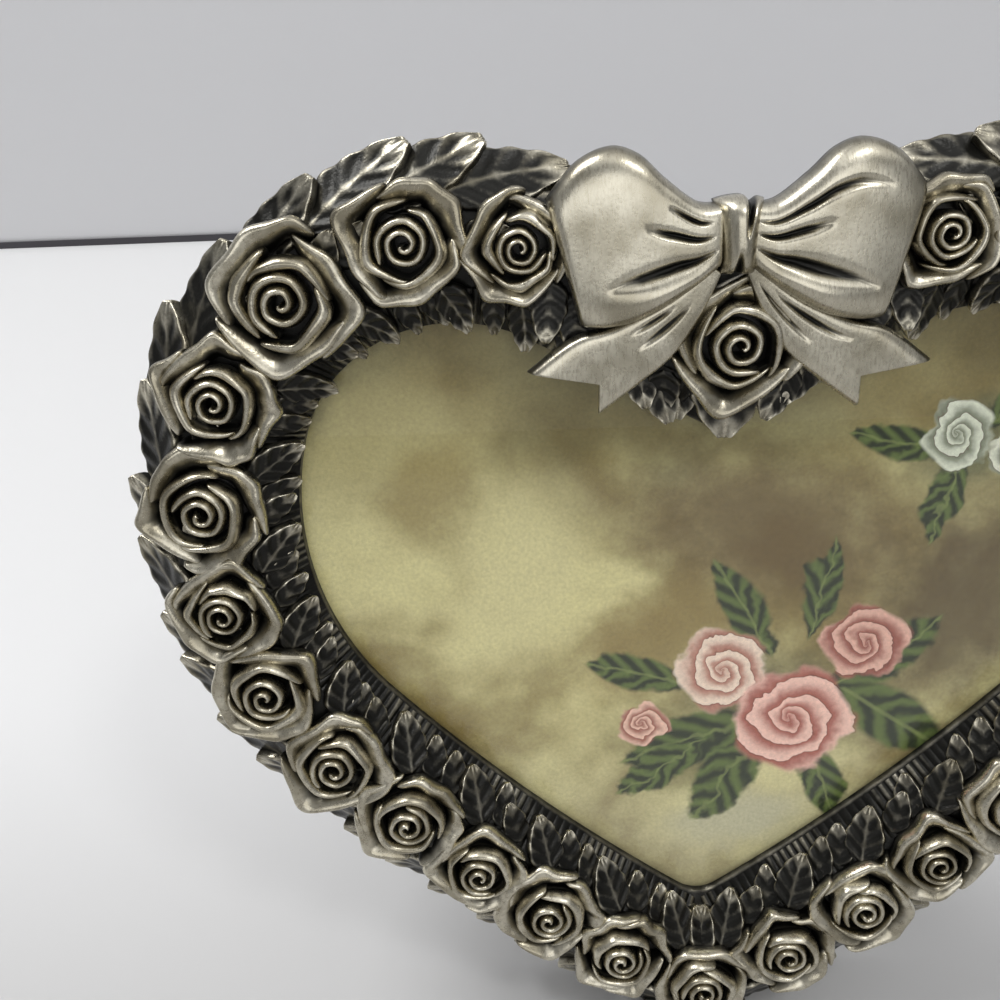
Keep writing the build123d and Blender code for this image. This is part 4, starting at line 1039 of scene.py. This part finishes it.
def picture():
    """The tinted print: a spray of roses on a mottled sepia ground, painted by nodes on the face."""
    paint = Shader("tinted_print")
    calc = paint.math
    origin, rise = FACE.translation, (FACE.to_3x3() @ Vector((0, 1, 0))).normalized()

    def vector(operation, first, second=(0, 0, 0), output="Vector"):
        return paint.node("ShaderNodeVectorMath", {0: first, 1: second}, operation=operation).outputs[output]

    moved = vector("SUBTRACT", paint.object, origin)
    flat = {
        "X": vector("DOT_PRODUCT", moved, Vector((1 / MM, 0, 0)), "Value"),
        "Y": vector("DOT_PRODUCT", moved, rise / MM, "Value"),
    }
    face = paint.node("ShaderNodeCombineXYZ", flat).outputs[0]
    wobble = paint.noise(0.16, 3.0, 0.6, face)
    shift = {
        "X": calc("MULTIPLY_ADD", wobble, 5.0, -2.5),
        "Y": calc("MULTIPLY_ADD", wobble, -4.0, 2.0),
    }
    wobbled = vector("ADD", face, paint.node("ShaderNodeCombineXYZ", shift).outputs[0])

    def turned(centre, angle, length, width):
        """Coordinates along and across a mark on the print, as shares of its length and width."""
        shifted = vector("SUBTRACT", wobbled, (*centre, 0))
        spun = paint.node("ShaderNodeVectorRotate", {"Vector": shifted, "Angle": radians(-angle)})
        scaled = vector("MULTIPLY", spun.outputs[0], (1 / length, 1 / width, 0))
        split = paint.node("ShaderNodeSeparateXYZ", {0: scaled})
        return split.outputs[0], split.outputs[1], scaled

    broad = paint.noise(0.030, 3.0, 0.55, face, 0.6)
    fine = paint.noise(0.11, 4.0, 0.6, face)
    level = calc("ADD", calc("MULTIPLY", broad, 1.1), calc("MULTIPLY", fine, 0.28))
    colour = paint.mix(paint.ramp(level, 0.48, 0.86), rgb(126, 108, 58), rgb(212, 202, 148))
    colour = paint.mix(paint.ramp(flat["Y"], 6, 40, 0, 0.6), colour, rgb(118, 104, 60))
    colour = paint.mix(paint.ramp(flat["Y"], -10, -46, 0, 0.4), colour, rgb(186, 179, 152))
    for centre, angle, length, width, shade in PRINT_CLOUDS:
        reach = vector("LENGTH", turned(centre, angle, length, width)[2], output="Value")
        mottled = calc("MULTIPLY_ADD", fine, 0.7, calc("SUBTRACT", reach, 0.35))
        colour = paint.mix(paint.ramp(mottled, 0.95, 0.25, 0, 0.85), colour, rgb(*shade))
    for centre, angle, length, width in PRINT_LEAVES:
        x, y, _ = turned(centre, angle, length, width)
        bow_out = calc("SUBTRACT", 1.0, calc("MULTIPLY", x, x))
        aside = calc("ABSOLUTE", y)
        edge = calc("SUBTRACT", bow_out, aside)
        vein = calc("SINE", calc("MULTIPLY_ADD", x, 16.0, calc("MULTIPLY", aside, -9)))
        spine = paint.ramp(aside, 0.10, 0.02)
        green = paint.mix(paint.ramp(vein, -1.2, 1.4), rgb(34, 42, 22), rgb(96, 110, 56))
        green = paint.mix(calc("MULTIPLY", spine, 0.6), green, rgb(128, 138, 82))
        colour = paint.mix(paint.ramp(edge, 0.0, 0.26), colour, green)
    for centre, radius, turn, deep, pale in PRINT_ROSES:
        x, y, spot = turned(centre, turn, radius, radius)
        reach = vector("LENGTH", spot, output="Value")
        angle = calc("DIVIDE", calc("ARCTAN2", y, x), 2 * pi)
        lobes = calc("SINE", calc("MULTIPLY", angle, 10 * pi))
        lobed = calc("MULTIPLY_ADD", lobes, 0.06, reach)
        winding = calc("MULTIPLY_ADD", calc("SQRT", reach), 4.6, calc("MULTIPLY", angle, 2.0))
        winding = calc("MULTIPLY_ADD", fine, 0.9, winding)
        petal_share = calc("FRACT", winding)
        light = paint.ramp(petal_share, 0.05, 0.85)
        bloom = paint.mix(light, rgb(*deep), rgb(*pale))
        bloom = paint.mix(paint.ramp(reach, 0.30, 0.02, 0, 0.6), bloom, rgb(*deep))
        shade_edge = paint.ramp(petal_share, 0.10, 0.0, 0, 0.55)
        bloom = paint.mix(shade_edge, bloom, rgb(96, 62, 48))
        colour = paint.mix(paint.ramp(lobed, 1.02, 0.88), colour, bloom)
    grain = paint.noise(1900, 2.0, 0.7)
    speckle = calc("MULTIPLY_ADD", grain, 0.55, 0.72)
    dots = paint.node("ShaderNodeCombineColor", {0: speckle, 1: speckle, 2: speckle}).outputs[0]
    values = {0: 1.0, 6: colour, 7: dots}
    colour = paint.node("ShaderNodeMix", values, data_type="RGBA", blend_type="MULTIPLY").outputs[2]
    paint.set(Base_Color=colour, Roughness=0.62, Normal=paint.bump(grain, 0.00002, 0.3))
    node = frame["nodes"]["picture_print"]
    node.data.materials.clear()
    node.data.materials.append(paint.material)


picture()


# Stage, lights and camera. The camera's place and aim are face millimetres, the stage's are metres.
CAMERA_PLACE = Vector((-26.2, 73.3, 142.9))
CAMERA_TARGET = Vector((-29.2, 24.1, 13.4))
CAMERA_ROLL = 2.32
FOCAL_PIXELS = 1050
FRAME_PIXELS = 1000
WALL_Y = 0.345
# SEAM is the height of the dark strip in the corner between table and wall, a painted shadow line.
SEAM = 0.003
STAGE_WIDTH = 6.0
STAGE_DEPTH = 3.0
# The table's painted shade: dark at the front, fading to white over this run of y, in metres.
TABLE_PAINTED_SHADE_Y = (-0.06, 0.08)
# Soft boxes: name, place, size and watts. They all look at the middle of the face.
LAMP_AIM = (0, 0, 0.08)
LAMPS = (
    ("window", (-0.5, 0.15, 0.9), (0.38, 0.32), 4.6),
    ("ceiling", (0.3, -0.2, 1.1), (1.2, 1.2), 3.4),
    ("front", (0.05, -1.1, 0.52), (1.3, 0.6), 3.0),
    ("spark", (0.25, -0.30, 0.8), (0.14, 0.14), 0.9),
)
SKY_COLOUR = (0.97, 0.98, 1.0, 1)
SKY_STRENGTH = 0.28


def flat_finish(name, colour, roughness):
    """A plain matt surface for the stage."""
    shader = Shader(name)
    shader.set(Base_Color=colour, Roughness=roughness)
    return shader.material


def stage_plane(name, matrix, depth, material):
    """A flat sheet across the whole stage."""
    bm = bmesh.new()
    bmesh.ops.create_grid(bm, x_segments=1, y_segments=1, size=0.5)
    bmesh.ops.scale(bm, vec=(STAGE_WIDTH, depth, 1), verts=bm.verts)
    bmesh.ops.transform(bm, matrix=matrix, verts=bm.verts)
    mesh = bpy.data.meshes.new(name)
    bm.to_mesh(mesh)
    bm.free()
    mesh.materials.append(material)
    plane = bpy.data.objects.new(name, mesh)
    bpy.context.scene.collection.objects.link(plane)


def stage():
    """A white table painted darker towards the front as painted shade, a light grey wall behind it, and a
    dark strip between them that is a painted shadow line.
    """
    table = Shader("table_white_painted_shade")
    # Painted shade: the table darker towards the front, standing in for the lamps' falloff.
    toward = table.node("ShaderNodeSeparateXYZ", {0: table.object}).outputs[1]
    shade = table.ramp(toward, TABLE_PAINTED_SHADE_Y[0], TABLE_PAINTED_SHADE_Y[1])
    table.set(Base_Color=table.mix(shade, rgb(178, 177, 176), rgb(230, 230, 230)), Roughness=0.6)
    wall = flat_finish("wall_grey", rgb(212, 212, 214), 0.8)
    # A dark strip in the corner between table and wall: a painted shadow line.
    seam_shadow_strip = flat_finish("seam_painted_shadow", rgb(70, 68, 72), 0.8)
    half = STAGE_DEPTH / 2
    stage_plane("table", Matrix.Translation((0, WALL_Y - half, 0)), STAGE_DEPTH, table.material)
    upright = Matrix.Rotation(radians(90), 4, "X")
    stage_plane("wall", Matrix.Translation((0, WALL_Y, half)) @ upright, STAGE_DEPTH, wall)
    stage_plane("seam_shadow_strip", Matrix.Translation((0, WALL_Y - 0.001, SEAM / 2)) @ upright, SEAM, seam_shadow_strip)


def soft_box(name, spot, size, power):
    """A lamp that looks at the middle of the face."""
    data = bpy.data.lights.new(name, "AREA")
    data.shape = "RECTANGLE"
    data.size, data.size_y = size
    data.energy = power
    light = bpy.data.objects.new(name, data)
    light.location = spot
    light.rotation_mode = "QUATERNION"
    light.rotation_quaternion = (Vector(LAMP_AIM) - Vector(spot)).to_track_quat("-Z", "Y")
    bpy.context.scene.collection.objects.link(light)


def lights():
    """A window high at the left rear, soft fills from above and the front, a spark and a weak sky."""
    for lamp in LAMPS:
        soft_box(*lamp)
    world = bpy.data.worlds.new("studio")
    bpy.context.scene.world = world
    world.use_nodes = True
    sky = world.node_tree.nodes["Background"].inputs
    sky["Color"].default_value = SKY_COLOUR
    sky["Strength"].default_value = SKY_STRENGTH


def camera():
    """The camera at the photograph's place, worked out from the heart's symmetry."""
    data = bpy.data.cameras.new("camera")
    data.sensor_width = 36
    data.lens = data.sensor_width * FOCAL_PIXELS / FRAME_PIXELS
    data.clip_start = 0.01
    view = bpy.data.objects.new("camera", data)
    spot, target = FACE @ CAMERA_PLACE, FACE @ CAMERA_TARGET
    ahead = (target - spot).normalized()
    up = (FACE.to_3x3() @ Vector((0, 1, 0))).normalized()
    right = ahead.cross(up).normalized()
    turned = Matrix((right, right.cross(ahead), -ahead)).transposed().to_4x4()
    view.rotation_mode = "QUATERNION"
    view.location = spot
    view.rotation_quaternion = (Matrix.Rotation(radians(CAMERA_ROLL), 4, ahead) @ turned).to_quaternion()
    bpy.context.scene.collection.objects.link(view)
    bpy.context.scene.camera = view


stage()
lights()
camera()
bpy.context.scene.view_settings.view_transform = "Standard"
